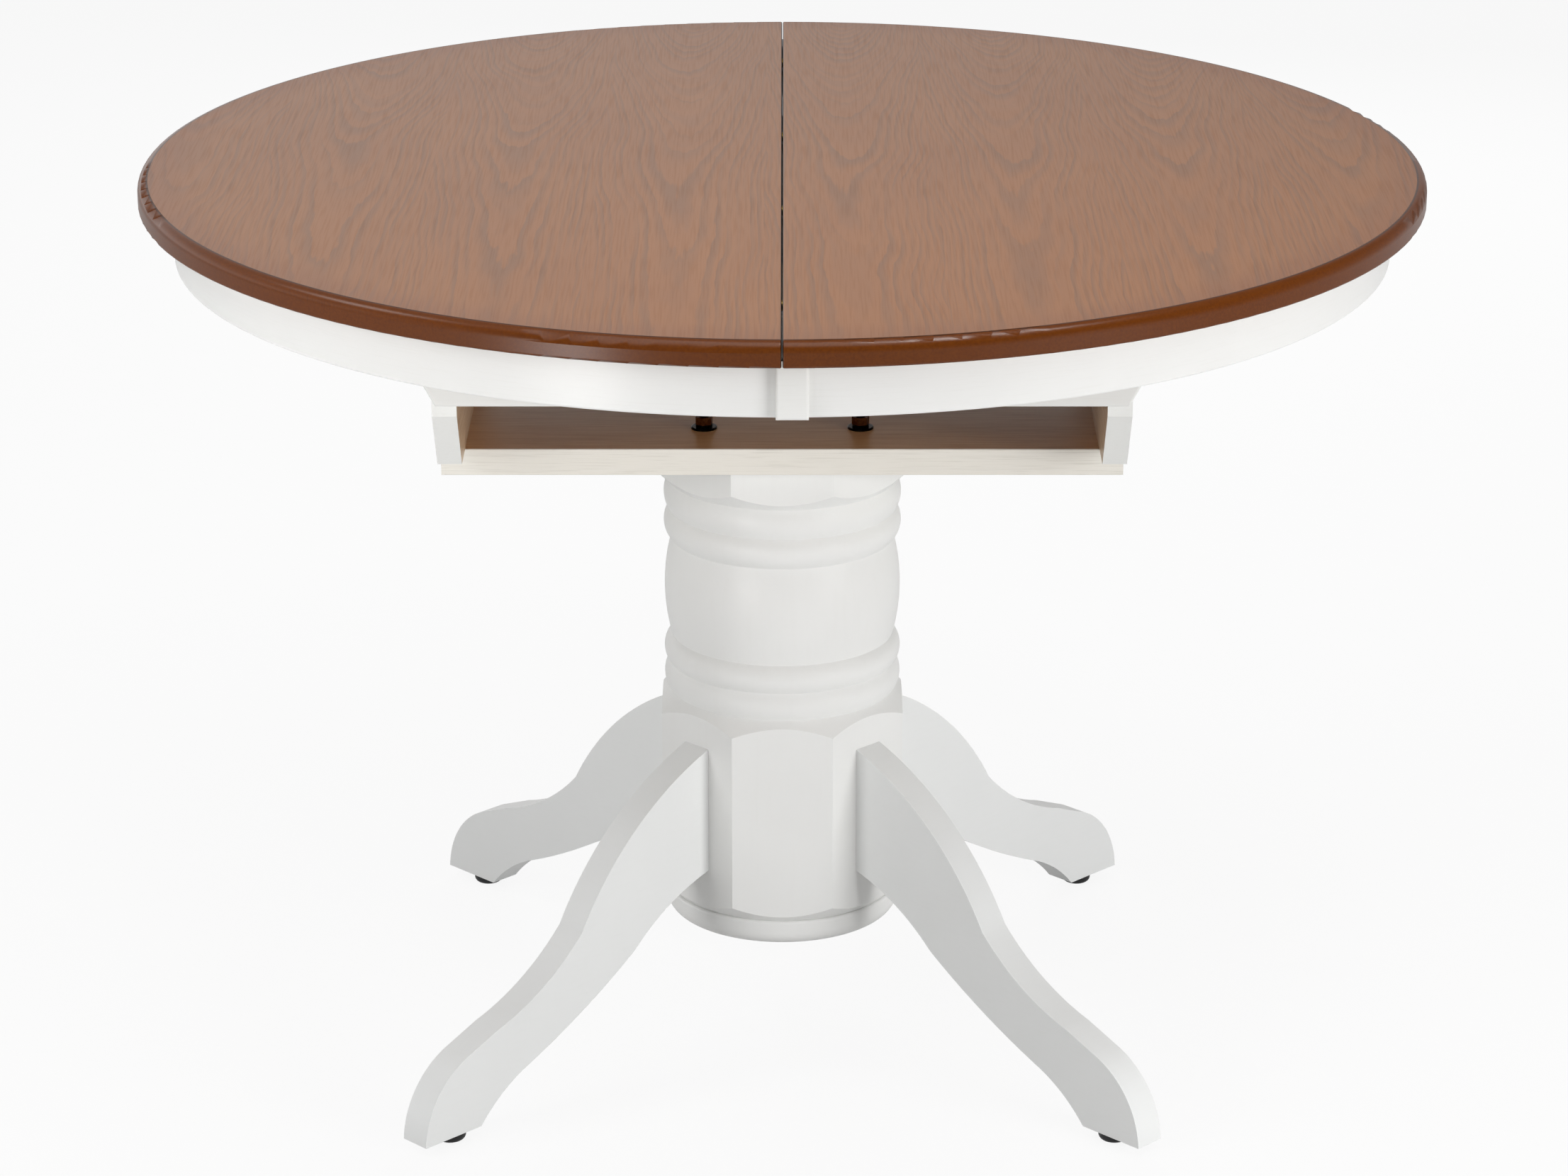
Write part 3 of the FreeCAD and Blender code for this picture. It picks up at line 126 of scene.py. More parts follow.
# ------------------------------------------------------------------------------- finishes
def veneer(name, grain_along_x, back):
    """Ash veneer, slip matched, stained brown under satin lacquer: nested cathedrals of low contrast
    that point to the front, straight lines beside them, fine pores, and a dark glossy solid edge."""
    finish, tree, mm = new_finish(name)
    if grain_along_x:
        mm = add(tree, "Mapping", None, {"Vector": mm, "Rotation": (0.0, 0.0, math.pi / 2)})
    x, y, z = add(tree, "SeparateXYZ", None, {"Vector": mm}).outputs
    half = VENEER_LEAF / 2
    from_centre = add(tree, "Math", {"operation": "SUBTRACT"}, {0: x, 1: VENEER_CENTRE})
    across = add(tree, "Math", {"operation": "WRAP"}, {0: from_centre, 1: half, 2: -half})
    number = add(tree, "Math", {"operation": "DIVIDE"}, {0: from_centre, 1: VENEER_LEAF})
    number = add(tree, "Math", {"operation": "ROUND"}, {0: number})
    slipped = add(tree, "Math", {"operation": "MULTIPLY_ADD"}, {0: number, 1: VENEER_SLIP, 2: y})
    drift = add(tree, "Math", {"operation": "MULTIPLY"}, {0: number, 1: 14.0})
    sheet = add(tree, "CombineXYZ", None, {"X": across, "Y": slipped, "Z": drift})

    # Growth rings: each point's distance from the heart of the tree, which lies under the sheet and
    # comes nearer to it towards the rear.
    wide = add(tree, "VectorMath", {"operation": "DIVIDE"}, {0: sheet, 1: (260.0, 190.0, 60.0)})
    wide = add(tree, "TexNoise", None, {"Vector": wide, "Scale": 1.0, "Detail": 1.0})
    sway = add(tree, "MapRange", None, {"Value": wide, "To Min": -14.0, "To Max": 14.0})
    centred = add(tree, "Math", {"operation": "ADD"}, {0: across, 1: sway})
    centred = add(tree, "Math", {"operation": "POWER"}, {0: centred, 1: 2.0})
    depth = add(tree, "Math", {"operation": "DIVIDE"}, {0: slipped, 1: HEART_RUN})
    depth = add(tree, "Math", {"operation": "EXPONENT"}, {0: depth})
    depth = add(tree, "Math", {"operation": "MULTIPLY_ADD"}, {0: depth, 1: -HEART_RISE, 2: HEART_DEPTH})
    depth = add(tree, "Math", {"operation": "POWER"}, {0: depth, 1: 2.0})
    radius = add(tree, "Math", {"operation": "ADD"}, {0: centred, 1: depth})
    radius = add(tree, "Math", {"operation": "SQRT"}, {0: radius})
    slow = add(tree, "VectorMath", {"operation": "DIVIDE"}, {0: sheet, 1: (55.0, 150.0, 60.0)})
    slow = add(tree, "TexNoise", None, {"Vector": slow, "Scale": 1.0, "Detail": 2.0})
    slow = add(tree, "MapRange", None, {"Value": slow, "To Min": -2.2, "To Max": 2.2})
    quick = add(tree, "VectorMath", {"operation": "DIVIDE"}, {0: sheet, 1: (5.0, 55.0, 60.0)})
    quick = add(tree, "TexNoise", None, {"Vector": quick, "Scale": 1.0, "Detail": 2.0})
    quick = add(tree, "MapRange", None, {"Value": quick, "To Min": -0.95, "To Max": 0.95})
    radius = add(tree, "Math", {"operation": "ADD"}, {0: radius, 1: slow})
    radius = add(tree, "Math", {"operation": "ADD"}, {0: radius, 1: quick})

    # In each ring the porous early wood takes the stain dark and grey, from an abrupt edge, and it
    # passes slowly into smooth orange late wood.
    ring = add(tree, "Math", {"operation": "DIVIDE"}, {0: radius, 1: RING_WIDTH})
    ring = add(tree, "Math", {"operation": "FRACT"}, {0: ring})
    rings = add(tree, "ValToRGB", None, {"Fac": ring})
    ramp = rings.color_ramp
    ramp.interpolation = "EASE"
    ramp.elements[0].color = (0.0, 0.0, 0.0, 1.0)
    ramp.elements[1].color = (0.0, 0.0, 0.0, 1.0)
    for position, level in ((0.1, 1.0), (0.28, 0.82), (0.52, 0.5), (0.78, 0.03)):
        ramp.elements.new(position).color = (level, level, level, 1.0)
    years = add(tree, "CombineXYZ", None, {"X": radius, "Y": slipped, "Z": drift})
    years = add(tree, "VectorMath", {"operation": "DIVIDE"}, {0: years, 1: (3.2, 260.0, 30.0)})
    years = add(tree, "TexNoise", None, {"Vector": years, "Scale": 1.0, "Detail": 2.0})
    years = add(tree, "MapRange", {"interpolation_type": "SMOOTHSTEP"},
                {"Value": years, "From Min": 0.34, "From Max": 0.62, "To Min": 0.1, "To Max": 0.68})
    figure = add(tree, "Math", {"operation": "MULTIPLY"}, {0: rings, 1: years})

    # Pores are about 0.3 mm wide in ash; drawn 1.5 mm wide, so that they show.
    pores = add(tree, "VectorMath", {"operation": "DIVIDE"}, {0: mm, 1: (1.5, 60.0, 20.0)})
    pores = add(tree, "TexNoise", None, {"Vector": pores, "Scale": 1.0, "Detail": 1.0})
    pores = add(tree, "MapRange", {"interpolation_type": "SMOOTHSTEP"},
                {"Value": pores, "From Min": 0.42, "From Max": 0.72})
    tone = add(tree, "VectorMath", {"operation": "DIVIDE"}, {0: mm, 1: (90.0, 160.0, 60.0)})
    tone = add(tree, "TexNoise", None, {"Vector": tone, "Scale": 1.0, "Detail": 2.0})
    late = add(tree, "Mix", {"data_type": "RGBA"},
               {"Factor": tone, "A": paint("#935D2D"), "B": paint("#895427")})
    wood = add(tree, "Mix", {"data_type": "RGBA"}, {"Factor": figure, "A": late, "B": paint("#714B2E")})
    streaks = add(tree, "Math", {"operation": "MULTIPLY"}, {0: pores, 1: 0.12})
    wood = add(tree, "Mix", {"data_type": "RGBA"}, {"Factor": streaks, "A": wood, "B": paint("#674126")})
    face_roughness = add(tree, "MapRange", None, {"Value": pores, "To Min": 0.29, "To Max": 0.34})
    peel = add(tree, "TexNoise", None, {"Vector": mm, "Scale": 0.35, "Detail": 1.0})
    face_height = add(tree, "Math", {"operation": "MULTIPLY"}, {0: pores, 1: -0.25})

    if grain_along_x:
        colour, roughness, height = wood, face_roughness, face_height
    else:
        # Solid edge: darker and redder, with a sanded-through dark line where it meets the sheet.
        flat = add(tree, "CombineXYZ", None, {"X": x, "Y": y})
        away = add(tree, "VectorMath", {"operation": "LENGTH"}, {0: flat}).outputs["Value"]
        start = TOP_RIM - TOP_ROUND
        sanded = add(tree, "MapRange", {"interpolation_type": "SMOOTHSTEP"},
                     {"Value": away, "From Min": start - 45.0, "From Max": start, "To Max": 0.28})
        wood = add(tree, "Mix", {"data_type": "RGBA"}, {"Factor": sanded, "A": wood, "B": paint("#6A3414")})
        speckle = add(tree, "TexNoise", None, {"Vector": mm, "Scale": 0.5, "Detail": 3.0})
        edge = add(tree, "Mix", {"data_type": "RGBA"},
                   {"Factor": speckle, "A": paint("#4C2203"), "B": paint("#6C3604")})
        rim = add(tree, "MapRange", {"interpolation_type": "SMOOTHSTEP"},
                  {"Value": away, "From Min": start - 0.4, "From Max": start + 1.2})
        colour = add(tree, "Mix", {"data_type": "RGBA"}, {"Factor": rim, "A": wood, "B": edge})
        line = add(tree, "Math", {"operation": "COMPARE"}, {0: away, 1: start + 0.7, 2: 0.8})
        line = add(tree, "Math", {"operation": "MULTIPLY"}, {0: line, 1: 0.75})
        colour = add(tree, "Mix", {"data_type": "RGBA"}, {"Factor": line, "A": colour, "B": paint("#2E1405")})
        roughness = add(tree, "Mix", None, {"Factor": rim, "A": face_roughness, "B": RIM_ROUGHNESS})
        peel = add(tree, "Math", {"operation": "MULTIPLY"}, {0: peel, 1: 0.08})
        height = add(tree, "Mix", None, {"Factor": rim, "A": face_height, "B": peel})

        # Painted shade: the faces in the seam, and the top within 1 mm of it, are coloured almost black to
        # stand in for the shade inside the gap.
        painted_seam_shade = add(tree, "Math", {"operation": "COMPARE"}, {0: x, 1: 0.0, 2: 1.0})
        colour = add(tree, "Mix", {"data_type": "RGBA"},
                     {"Factor": painted_seam_shade, "A": colour, "B": paint("#140A05")})

    # The back is a plain sheet of the same stain, thinly sealed.
    behind = add(tree, "Math", {"operation": "COMPARE"}, {0: z, 1: back, 2: 0.2})
    fibres = add(tree, "VectorMath", {"operation": "DIVIDE"}, {0: mm, 1: (2.0, 60.0, 9.0)})
    fibres = add(tree, "TexNoise", None, {"Vector": fibres, "Scale": 1.0, "Detail": 3.0})
    plain = add(tree, "Mix", {"data_type": "RGBA"},
                {"Factor": fibres, "A": paint("#6B4526"), "B": paint("#83592F")})
    colour = add(tree, "Mix", {"data_type": "RGBA"}, {"Factor": behind, "A": colour, "B": plain})
    roughness = add(tree, "Mix", None, {"Factor": behind, "A": roughness, "B": 0.55})
    bump = add(tree, "Bump", None, {"Height": height, "Distance": FILM_HEIGHT})
    shader = add(tree, "BsdfPrincipled", None,
                 {"Base Color": colour, "Roughness": roughness, "IOR": 1.48, "Specular IOR Level": 0.36,
                  "Normal": bump})
    add(tree, "OutputMaterial", None, {"Surface": shader})
    return finish


def lacquer(name, lines, colour="#EFEFEC", share=0.1, roughness=0.34):
    """Sprayed white satin lacquer on hardwood: a soft, slightly uneven film, and fine grain lines that
    telegraph through it. lines is their length in millimetres along each axis."""
    finish, tree, mm = new_finish(name)
    grain = add(tree, "VectorMath", {"operation": "DIVIDE"}, {0: mm, 1: lines})
    grain = add(tree, "TexNoise", None, {"Vector": grain, "Scale": 1.0, "Detail": 2.0})
    grain = add(tree, "MapRange", {"interpolation_type": "SMOOTHSTEP"},
                {"Value": grain, "From Min": 0.52, "From Max": 0.72})
    cloud = add(tree, "TexNoise", None, {"Vector": mm, "Scale": 1 / 70, "Detail": 2.0})
    white = add(tree, "Mix", {"data_type": "RGBA"},
                {"Factor": cloud, "A": paint(colour), "B": paint(colour, 0.965)})
    shown = add(tree, "Math", {"operation": "MULTIPLY"}, {0: grain, 1: share})
    white = add(tree, "Mix", {"data_type": "RGBA"}, {"Factor": shown, "A": white, "B": paint("#C9C4B8")})
    peel = add(tree, "TexNoise", None, {"Vector": mm, "Scale": 0.3, "Detail": 1.0})
    height = add(tree, "Math", {"operation": "MULTIPLY_ADD"}, {0: grain, 1: -share * 4, 2: peel})
    bump = add(tree, "Bump", None, {"Height": height, "Distance": FILM_HEIGHT})
    gloss = add(tree, "MapRange", None,
                {"Value": cloud, "From Min": 0.3, "From Max": 0.7, "To Min": roughness - 0.03,
                 "To Max": roughness + 0.03})
    shader = add(tree, "BsdfPrincipled", None,
                 {"Base Color": white, "Roughness": gloss, "IOR": 1.5, "Normal": bump})
    add(tree, "OutputMaterial", None, {"Surface": shader})
    return finish


def stained_board(name, lines, light, dark):
    """Rubberwood board, stained brown under one thin satin coat: fine straight grain, short dark
    pores, and a slow change of tone along the board."""
    finish, tree, mm = new_finish(name)
    grain = add(tree, "VectorMath", {"operation": "DIVIDE"}, {0: mm, 1: lines})
    grain = add(tree, "TexNoise", None, {"Vector": grain, "Scale": 1.0, "Detail": 4.0, "Roughness": 0.6})
    grain = add(tree, "MapRange", {"interpolation_type": "SMOOTHSTEP"},
                {"Value": grain, "From Min": 0.3, "From Max": 0.72})
    slow = add(tree, "VectorMath", {"operation": "DIVIDE"}, {0: mm, 1: [size * 3 + 20 for size in lines]})
    slow = add(tree, "TexNoise", None, {"Vector": slow, "Scale": 1.0, "Detail": 2.0})
    wood = add(tree, "Mix", {"data_type": "RGBA"}, {"Factor": grain, "A": paint(light), "B": paint(dark)})
    lighter = add(tree, "Math", {"operation": "MULTIPLY"}, {0: slow, 1: 0.5})
    wood = add(tree, "Mix", {"data_type": "RGBA"}, {"Factor": lighter, "A": wood, "B": paint(light, 1.15)})
    gloss = add(tree, "MapRange", None, {"Value": grain, "To Min": 0.3, "To Max": 0.42})
    bump = add(tree, "Bump", None, {"Height": grain, "Distance": 0.00003})
    shader = add(tree, "BsdfPrincipled", None,
                 {"Base Color": wood, "Roughness": gloss, "IOR": 1.5, "Normal": bump})
    add(tree, "OutputMaterial", None, {"Surface": shader})
    return finish


def bare_wood(name, light, dark, lines):
    """Planed hardwood, not finished: dull and pale, with open pores along the grain."""
    finish, tree, mm = new_finish(name)
    bands = add(tree, "VectorMath", {"operation": "DIVIDE"}, {0: mm, 1: [size * 5 for size in lines]})
    bands = add(tree, "TexNoise", None, {"Vector": bands, "Scale": 1.0, "Detail": 2.0})
    pores = add(tree, "VectorMath", {"operation": "DIVIDE"}, {0: mm, 1: lines})
    pores = add(tree, "TexNoise", None, {"Vector": pores, "Scale": 1.0, "Detail": 3.0, "Roughness": 0.65})
    pores = add(tree, "MapRange", {"interpolation_type": "SMOOTHSTEP"},
                {"Value": pores, "From Min": 0.5, "From Max": 0.72})
    wood = add(tree, "Mix", {"data_type": "RGBA"}, {"Factor": bands, "A": paint(light), "B": paint(dark)})
    open_grain = add(tree, "Math", {"operation": "MULTIPLY"}, {0: pores, 1: 0.45})
    wood = add(tree, "Mix", {"data_type": "RGBA"}, {"Factor": open_grain, "A": wood, "B": paint("#8A6A45")})
    gloss = add(tree, "MapRange", None, {"Value": pores, "To Min": 0.58, "To Max": 0.75})
    bump = add(tree, "Bump", {"invert": True}, {"Height": pores, "Distance": 0.00004})
    shader = add(tree, "BsdfPrincipled", None,
                 {"Base Color": wood, "Roughness": gloss, "IOR": 1.5, "Normal": bump})
    add(tree, "OutputMaterial", None, {"Surface": shader})
    return finish


def plated_steel(name, colour, drift, roughness, threaded=False):
    """Plated or oxidised steel: fine crystal grain in its brightness, and a drift of hue between two
    colours. A threaded one has rolled thread along Z."""
    finish, tree, mm = new_finish(name)
    grain = add(tree, "TexNoise", None, {"Vector": mm, "Scale": 1.4, "Detail": 3.0, "Roughness": 0.6})
    hue = add(tree, "TexNoise", None, {"Vector": mm, "Scale": 0.28, "Detail": 2.0})
    hue = add(tree, "MapRange", {"interpolation_type": "SMOOTHSTEP"},
              {"Value": hue, "From Min": 0.35, "From Max": 0.65})
    metal = add(tree, "Mix", {"data_type": "RGBA"}, {"Factor": hue, "A": paint(colour), "B": paint(drift)})
    dulled = add(tree, "Math", {"operation": "MULTIPLY"}, {0: grain, 1: 0.35})
    metal = add(tree, "Mix", {"data_type": "RGBA"}, {"Factor": dulled, "A": metal, "B": paint(colour, 0.65)})
    gloss = add(tree, "MapRange", None,
                {"Value": grain, "From Min": 0.3, "From Max": 0.7, "To Min": roughness * 0.8,
                 "To Max": roughness * 1.25})
    bump = add(tree, "Bump", None, {"Height": grain, "Distance": 0.00001})
    if threaded:
        z = add(tree, "SeparateXYZ", None, {"Vector": mm}).outputs["Z"]
        turns = add(tree, "Math", {"operation": "PINGPONG"}, {0: z, 1: THREAD_PITCH / 2})
        bump = add(tree, "Bump", None, {"Height": turns, "Distance": 0.001, "Normal": bump})
    shader = add(tree, "BsdfPrincipled", None,
                 {"Base Color": metal, "Metallic": 1.0, "Roughness": gloss, "Normal": bump})
    add(tree, "OutputMaterial", None, {"Surface": shader})
    return finish


def moulded(name, colour, roughness, texture_size):
    """Moulded plastic with a fine matt texture from its mould."""
    finish, tree, mm = new_finish(name)
    texture = add(tree, "TexNoise", None, {"Vector": mm, "Scale": 1 / texture_size, "Detail": 2.0})
    tone = add(tree, "Mix", {"data_type": "RGBA"},
               {"Factor": texture, "A": paint(colour), "B": paint(colour, 0.8)})
    gloss = add(tree, "MapRange", None,
                {"Value": texture, "To Min": roughness - 0.06, "To Max": roughness + 0.06})
    bump = add(tree, "Bump", None, {"Height": texture, "Distance": 0.00003})
    shader = add(tree, "BsdfPrincipled", None,
                 {"Base Color": tone, "Roughness": gloss, "IOR": 1.53, "Normal": bump})
    add(tree, "OutputMaterial", None, {"Surface": shader})
    return finish


def felt_cloth(name, colour):
    """Pressed wool felt: a matt tangle of short fibres."""
    finish, tree, mm = new_finish(name)
    fibres = add(tree, "TexNoise", None, {"Vector": mm, "Scale": 1.25, "Detail": 4.0, "Roughness": 0.7})
    tone = add(tree, "Mix", {"data_type": "RGBA"},
               {"Factor": fibres, "A": paint(colour), "B": paint(colour, 2.2)})
    matt = add(tree, "MapRange", None, {"Value": fibres, "To Min": 0.9, "To Max": 1.0})
    bump = add(tree, "Bump", None, {"Height": fibres, "Distance": 0.0003})
    shader = add(tree, "BsdfPrincipled", None,
                 {"Base Color": tone, "Roughness": matt, "Sheen Weight": 0.3, "Normal": bump})
    add(tree, "OutputMaterial", None, {"Surface": shader})
    return finish


top_veneer = veneer("ash_veneer_brown_stain", False, TOP_BACK)
leaf_veneer = {side: veneer("ash_veneer_leaf_" + side, True, z) for side, z in LEAF_BACKS.items()}
white_rail = lacquer("white_lacquer_rails", (45.0, 4.0, 0.9), share=0.06)
white_side_board = lacquer("white_lacquer_side_boards", (4.0, 45.0, 0.9), share=0.06)
white_apron = lacquer("white_lacquer_bent_apron", (40.0, 40.0, 0.9), "#F1F1EF", 0.05, 0.32)
white_turned = lacquer("white_lacquer_turned", (6.0, 6.0, 90.0), "#EFEFED", 0.02, 0.32)
white_leg = lacquer("white_lacquer_legs", (25.0, 25.0, 2.0), "#F0F1F0", 0.02, 0.32)
white_plank = lacquer("white_lacquer_thin_on_plank", (38.0, 3.0, 0.8), "#EDE9E0", 0.35, 0.38)
plank_stain = stained_board("rubberwood_plank_stain", (60.0, 1.6, 3.0), "#E8BE8E", "#CC9C68")
board_stain = stained_board("rubberwood_board_stain", (3.0, 45.0, 1.4), "#C8AC8E", "#AA8A6C")
rail_stain = stained_board("rubberwood_rail_stain", (45.0, 3.0, 1.4), "#C8AC8E", "#AA8A6C")
bare_hardwood = bare_wood("rubberwood_unfinished", "#D2B48A", "#BE9A6C", (30.0, 1.2, 1.2))
bare_beech = bare_wood("beech_unfinished", "#D9B48C", "#C79A70", (9.0, 1.0, 2.5))
white_nylon = moulded("nylon_natural", "#DEDCD2", 0.42, 0.9)
black_nylon = moulded("nylon_black", "#18181A", 0.38, 0.7)
bright_zinc = plated_steel("steel_bright_zinc", "#C4C8CC", "#B9BFC6", 0.34)
bronze_zinc = plated_steel("steel_yellow_zinc", "#7E5434", "#643C28", 0.3)
bronze_thread = plated_steel("steel_yellow_zinc_threaded", "#4A3A30", "#332824", 0.34, True)
black_steel = plated_steel("steel_black_oxide", "#242220", "#1B1A1A", 0.26)
brass = plated_steel("brass_turned", "#C9A55C", "#BD9448", 0.3)
felt = felt_cloth("felt_brown", "#4A392C")

NODE_FINISHES = {
    top_veneer: ["tabletop_half_right", "tabletop_half_left"],
    bare_beech: ["slide_racks_right", "slide_racks_left"],
    white_nylon: ["pinion_front", "pinion_rear"],
    bright_zinc: ["box_screws", "foot_disc_screws", "glide_screws", "underside_screws_right",
                  "underside_screws_left", "pinion_pins", "leg_hanger_bolts", "leg_bolt_washers",
                  "leg_bolt_nuts", "lock_plates", "lock_keepers", "lock_lever_front", "lock_lever_rear"],
    bronze_zinc: ["plank_nuts"],
    bronze_thread: ["plank_hanger_bolts"],
    black_steel: ["plank_washers", "plank_spring_washers"],
    brass: ["alignment_pins", "alignment_bushings", "leaf_pins_lower", "leaf_pins_upper",
            "leaf_hinge_straps_lower", "leaf_hinge_straps_upper", "leaf_hinge_screws_lower",
            "leaf_hinge_screws_upper", "leaf_hinge_links"],
    black_nylon: ["floor_glides"],
    felt: ["leaf_felt_strips"],
}
for finish, names in NODE_FINISHES.items():
    for name in names:
        for part_slot in frame["nodes"][name].material_slots:
            part_slot.material = finish


# ------------------------------------------------------------- pieces with eased edges
def body_of_node(name):
    return next(body for body, names in frame["record"]["behaviour"]["bodies"].items() if name in names)


def eased(name, finishes, width, segments=2, choose=None):
    """Copy of a CAD piece with its sharp edges eased, as sanding and lacquer leave them. It stands
    for the CAD piece. choose gives the finish number of a face from its centre and normal."""
    source = frame["nodes"][name]
    bpy.ops.object.select_all(action="DESELECT")
    source.select_set(True)
    bpy.context.view_layer.objects.active = source
    bpy.ops.object.duplicate()
    piece = bpy.context.active_object
    piece.name = piece.data.name = name + "_eased"
    piece.parent = None
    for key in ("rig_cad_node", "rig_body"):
        del piece[key]
    bpy.ops.object.mode_set(mode="EDIT")
    bpy.ops.mesh.select_all(action="SELECT")
    bpy.ops.mesh.remove_doubles(threshold=MERGE_DISTANCE)
    bpy.ops.mesh.dissolve_limited(angle_limit=math.radians(FLAT_ANGLE))
    bpy.ops.object.mode_set(mode="OBJECT")
    bevel = piece.modifiers.new("eased_edges", "BEVEL")
    bevel.width = width / 1000.0
    bevel.segments = segments
    bevel.limit_method = "ANGLE"
    bevel.angle_limit = math.radians(SHARP_ANGLE)
    bevel.use_clamp_overlap = True
    bpy.ops.object.modifier_apply(modifier=bevel.name)
    bpy.ops.object.shade_smooth_by_angle(angle=math.radians(SMOOTH_ANGLE))
    flat = piece.modifiers.new("flat_faces", "WEIGHTED_NORMAL")
    flat.keep_sharp = True
    bpy.ops.object.modifier_apply(modifier=flat.name)
    piece.data.materials.clear()
    for finish in finishes:
        piece.data.materials.append(finish)
    for face in piece.data.polygons:
        face.material_index = choose(face.center * 1000.0, face.normal) if choose else 0
    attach(piece, body_of_node(name))
    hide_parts(name)


def plank_faces(centre, normal):
    """The plank is stained on top and lacquered white elsewhere."""
    return 1 if normal.z > 0.5 and abs(centre.y) < PLANK_HALF - 1.2 else 0


def side_board_faces(centre, normal):
    """The side boards are stained inside the box and lacquered white elsewhere."""
    inward = -1.0 if centre.x > 0 else 1.0
    return 1 if normal.x * inward > 0.5 and abs(centre.x) < BOX_HALF_X + 2.0 else 0


def rail_faces(centre, normal):
    """The rails are stained inside the box and lacquered white elsewhere."""
    inward = -1.0 if centre.y > 0 else 1.0
    return 1 if normal.y * inward > 0.5 and abs(centre.y) < RAIL_INNER_Y + 2.0 else 0


for side in ("right", "left"):
    eased("apron_" + side, [white_apron], 0.7)
    eased("side_board_" + side, [white_side_board, board_stain], 0.9, choose=side_board_faces)
    eased("apron_glue_blocks_" + side, [bare_hardwood], 0.8)
    for place in ("front", "rear"):
        eased("runner_%s_%s" % (side, place), [bare_hardwood], 0.6)
for side in ("lower", "upper"):
    eased("leaf_wing_" + side, [leaf_veneer[side]], 0.5)
for place in ("front", "rear"):
    eased("apron_lap_block_" + place, [white_rail], 0.7)
    eased(place + "_rail", [white_rail, rail_stain], 0.8, choose=rail_faces)
for place in ("front_left", "front_right", "rear_left", "rear_right"):
    eased("leg_" + place, [white_leg], 1.3, 3)
eased("mounting_plank", [white_plank, plank_stain], 0.7, choose=plank_faces)
eased("pedestal_column", [white_turned], 0.5)
eased("column_foot_disc", [white_turned], 0.3)


# ------------------------------------------------------------------ floor, light and camera
def studio_white(tree, lit, share, glossy_share):
    """Mixes a lit surface with plain white for what the camera, metal and glass see of it."""
    rays = add(tree, "LightPath")
    mirrored = add(tree, "Math", {"operation": "MAXIMUM"},
                   {0: rays.outputs["Is Glossy Ray"], 1: rays.outputs["Is Transmission Ray"]})
    mirrored = add(tree, "Math", {"operation": "MULTIPLY"}, {0: mirrored, 1: glossy_share})
    direct = add(tree, "Math", {"operation": "MULTIPLY"}, {0: rays.outputs["Is Camera Ray"], 1: share})
    seen = add(tree, "Math", {"operation": "MAXIMUM"}, {0: direct, 1: mirrored})
    white = add(tree, "Emission", None, {"Strength": 1.05})
    return add(tree, "MixShader", None, {0: seen, 1: lit, 2: white})


floor_paint, floor_tree, floor_mm = new_finish("studio_floor_white")
mottled = add(floor_tree, "TexNoise", None, {"Vector": floor_mm, "Scale": 0.02})
mottled = add(floor_tree, "Mix", {"data_type": "RGBA"},
              {"Factor": mottled, "A": paint("#CECECE"), "B": paint("#CACACA")})
matt = add(floor_tree, "BsdfPrincipled", None, {"Base Color": mottled, "Roughness": 0.9})
add(floor_tree, "OutputMaterial", None, {"Surface": studio_white(floor_tree, matt, 0.85, 0.3)})
bpy.ops.object.select_all(action="DESELECT")
bpy.ops.mesh.primitive_plane_add(size=40.0, location=(0.0, 0.0, 0.0))
floor = bpy.context.active_object
floor.name = "studio_floor"
floor.data.materials.append(floor_paint)

# An even pale world. Gloss sees it white at the horizon, and dimmer overhead, to the right and in front.
WORLD_LIGHT = 0.4
world = bpy.data.worlds.new("studio")
bpy.context.scene.world = world
world.use_nodes = True
air = world.node_tree
air.nodes.clear()
rays = add(air, "LightPath")
way = add(air, "SeparateXYZ", None, {"Vector": add(air, "TexCoord").outputs["Generated"]})
upward = add(air, "MapRange", {"interpolation_type": "SMOOTHSTEP"},
             {"Value": way.outputs["Z"], "From Min": 0.05, "From Max": 0.55, "To Min": 1.0, "To Max": 0.3})
sideways = add(air, "MapRange", {"interpolation_type": "SMOOTHSTEP"},
               {"Value": way.outputs["X"], "From Min": -0.15, "From Max": 0.5, "To Min": 1.15, "To Max": 0.3})
frontal = add(air, "MapRange", {"interpolation_type": "SMOOTHSTEP"},
              {"Value": way.outputs["Y"], "From Min": -0.6, "From Max": 0.0, "To Min": 0.2, "To Max": 1.0})
gloss_sees = add(air, "Math", {"operation": "MULTIPLY"}, {0: upward, 1: sideways})
gloss_sees = add(air, "Math", {"operation": "MULTIPLY"}, {0: gloss_sees, 1: frontal})
mirrored = add(air, "Math", {"operation": "MAXIMUM"},
               {0: rays.outputs["Is Glossy Ray"], 1: rays.outputs["Is Transmission Ray"]})
strength = add(air, "Mix", None, {"Factor": mirrored, "A": WORLD_LIGHT, "B": gloss_sees})
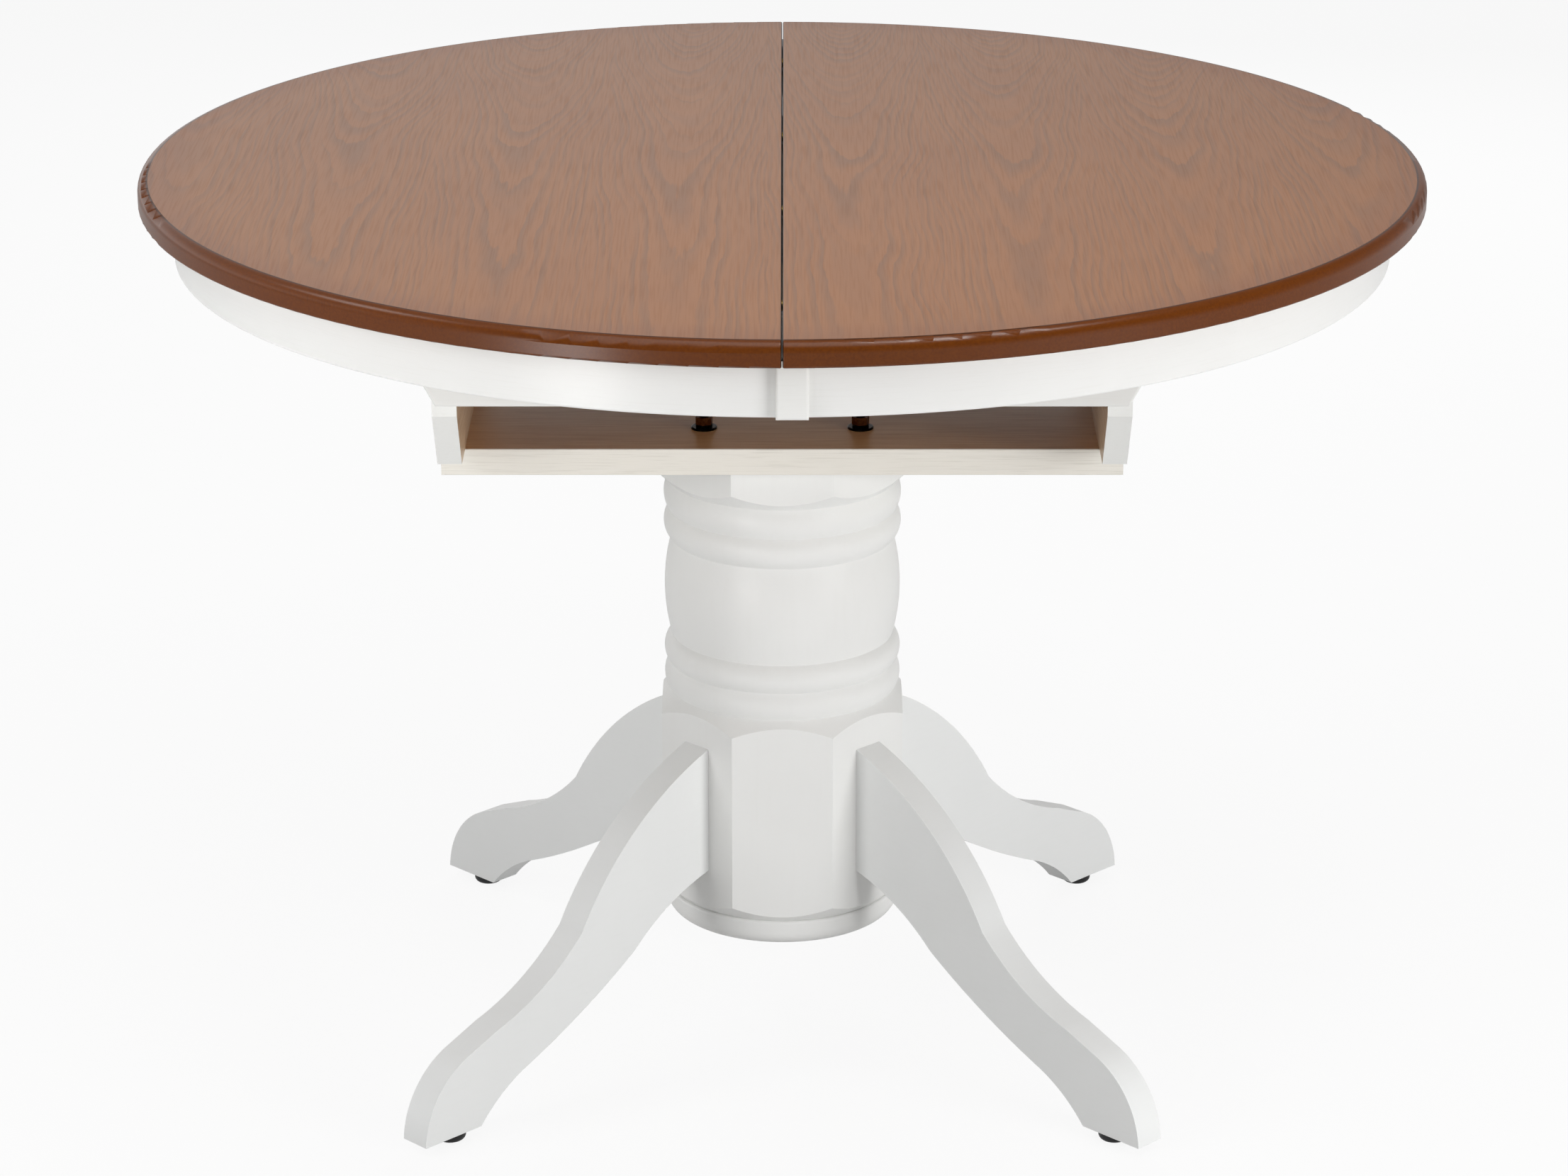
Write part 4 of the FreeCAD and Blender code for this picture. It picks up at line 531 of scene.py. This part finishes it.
strength = add(air, "Mix", None, {"Factor": rays.outputs["Is Camera Ray"], "A": strength, "B": 1.0})
sky = add(air, "Background", None, {"Color": (1.0, 1.0, 1.0, 1.0), "Strength": strength})
add(air, "OutputWorld", None, {"Surface": sky})


def softbox(name, place, aim, size, watts, grid=180.0, mirrored=True):
    """Square studio softbox at place, turned towards aim. A grid narrows its beam, in degrees, and
    one that isn't mirrored leaves no glare in the lacquer."""
    lamp = bpy.data.lights.new(name, "AREA")
    lamp.shape = "SQUARE"
    lamp.size = size
    lamp.energy = watts
    lamp.spread = math.radians(grid)
    box = bpy.data.objects.new(name, lamp)
    bpy.context.scene.collection.objects.link(box)
    box.location = place
    box.visible_camera = False
    box.visible_glossy = mirrored
    way = [aim[i] - place[i] for i in range(3)]
    box.rotation_euler = Vector(way).to_track_quat("-Z", "Y").to_euler()


softbox("softbox_overhead", (-0.1, -0.7, 2.0), (0.0, 0.0, 0.7), 1.1, 7.0)
softbox("softbox_rim_right", (0.62, -0.5, 2.05), (0.2, -0.5, 0.76), 0.32, 6.0)
softbox("softbox_rim_left", (-2.0, -0.05, 2.55), (0.0, 0.0, 0.7), 0.7, 9.0)
softbox("softbox_key_right", (2.6, -2.2, 0.85), (0.0, 0.0, 0.4), 1.4, 57.0, mirrored=False)
softbox("softbox_fill_left", (-3.0, -1.9, 1.6), (0.0, 0.0, 0.4), 1.7, 34.0, mirrored=False)
softbox("softbox_rear", (0.4, 3.2, 1.6), (0.0, 0.0, 0.4), 1.8, 26.0, mirrored=False)
softbox("softbox_low_left", (-1.3, -1.9, 0.35), (-0.35, -0.35, 0.72), 0.5, 0.4, 28.0)

view = bpy.data.cameras.new("table_camera")
view.sensor_width = 36.0
view.lens = CAMERA_LENS
view.clip_end = 100.0
camera = bpy.data.objects.new("table_camera", view)
bpy.context.scene.collection.objects.link(camera)
camera.location = CAMERA_PLACE
camera.rotation_euler = (math.pi / 2 - CAMERA_TILT, 0.0, 0.0)
bpy.context.scene.camera = camera
bpy.context.scene.view_settings.view_transform = "Standard"
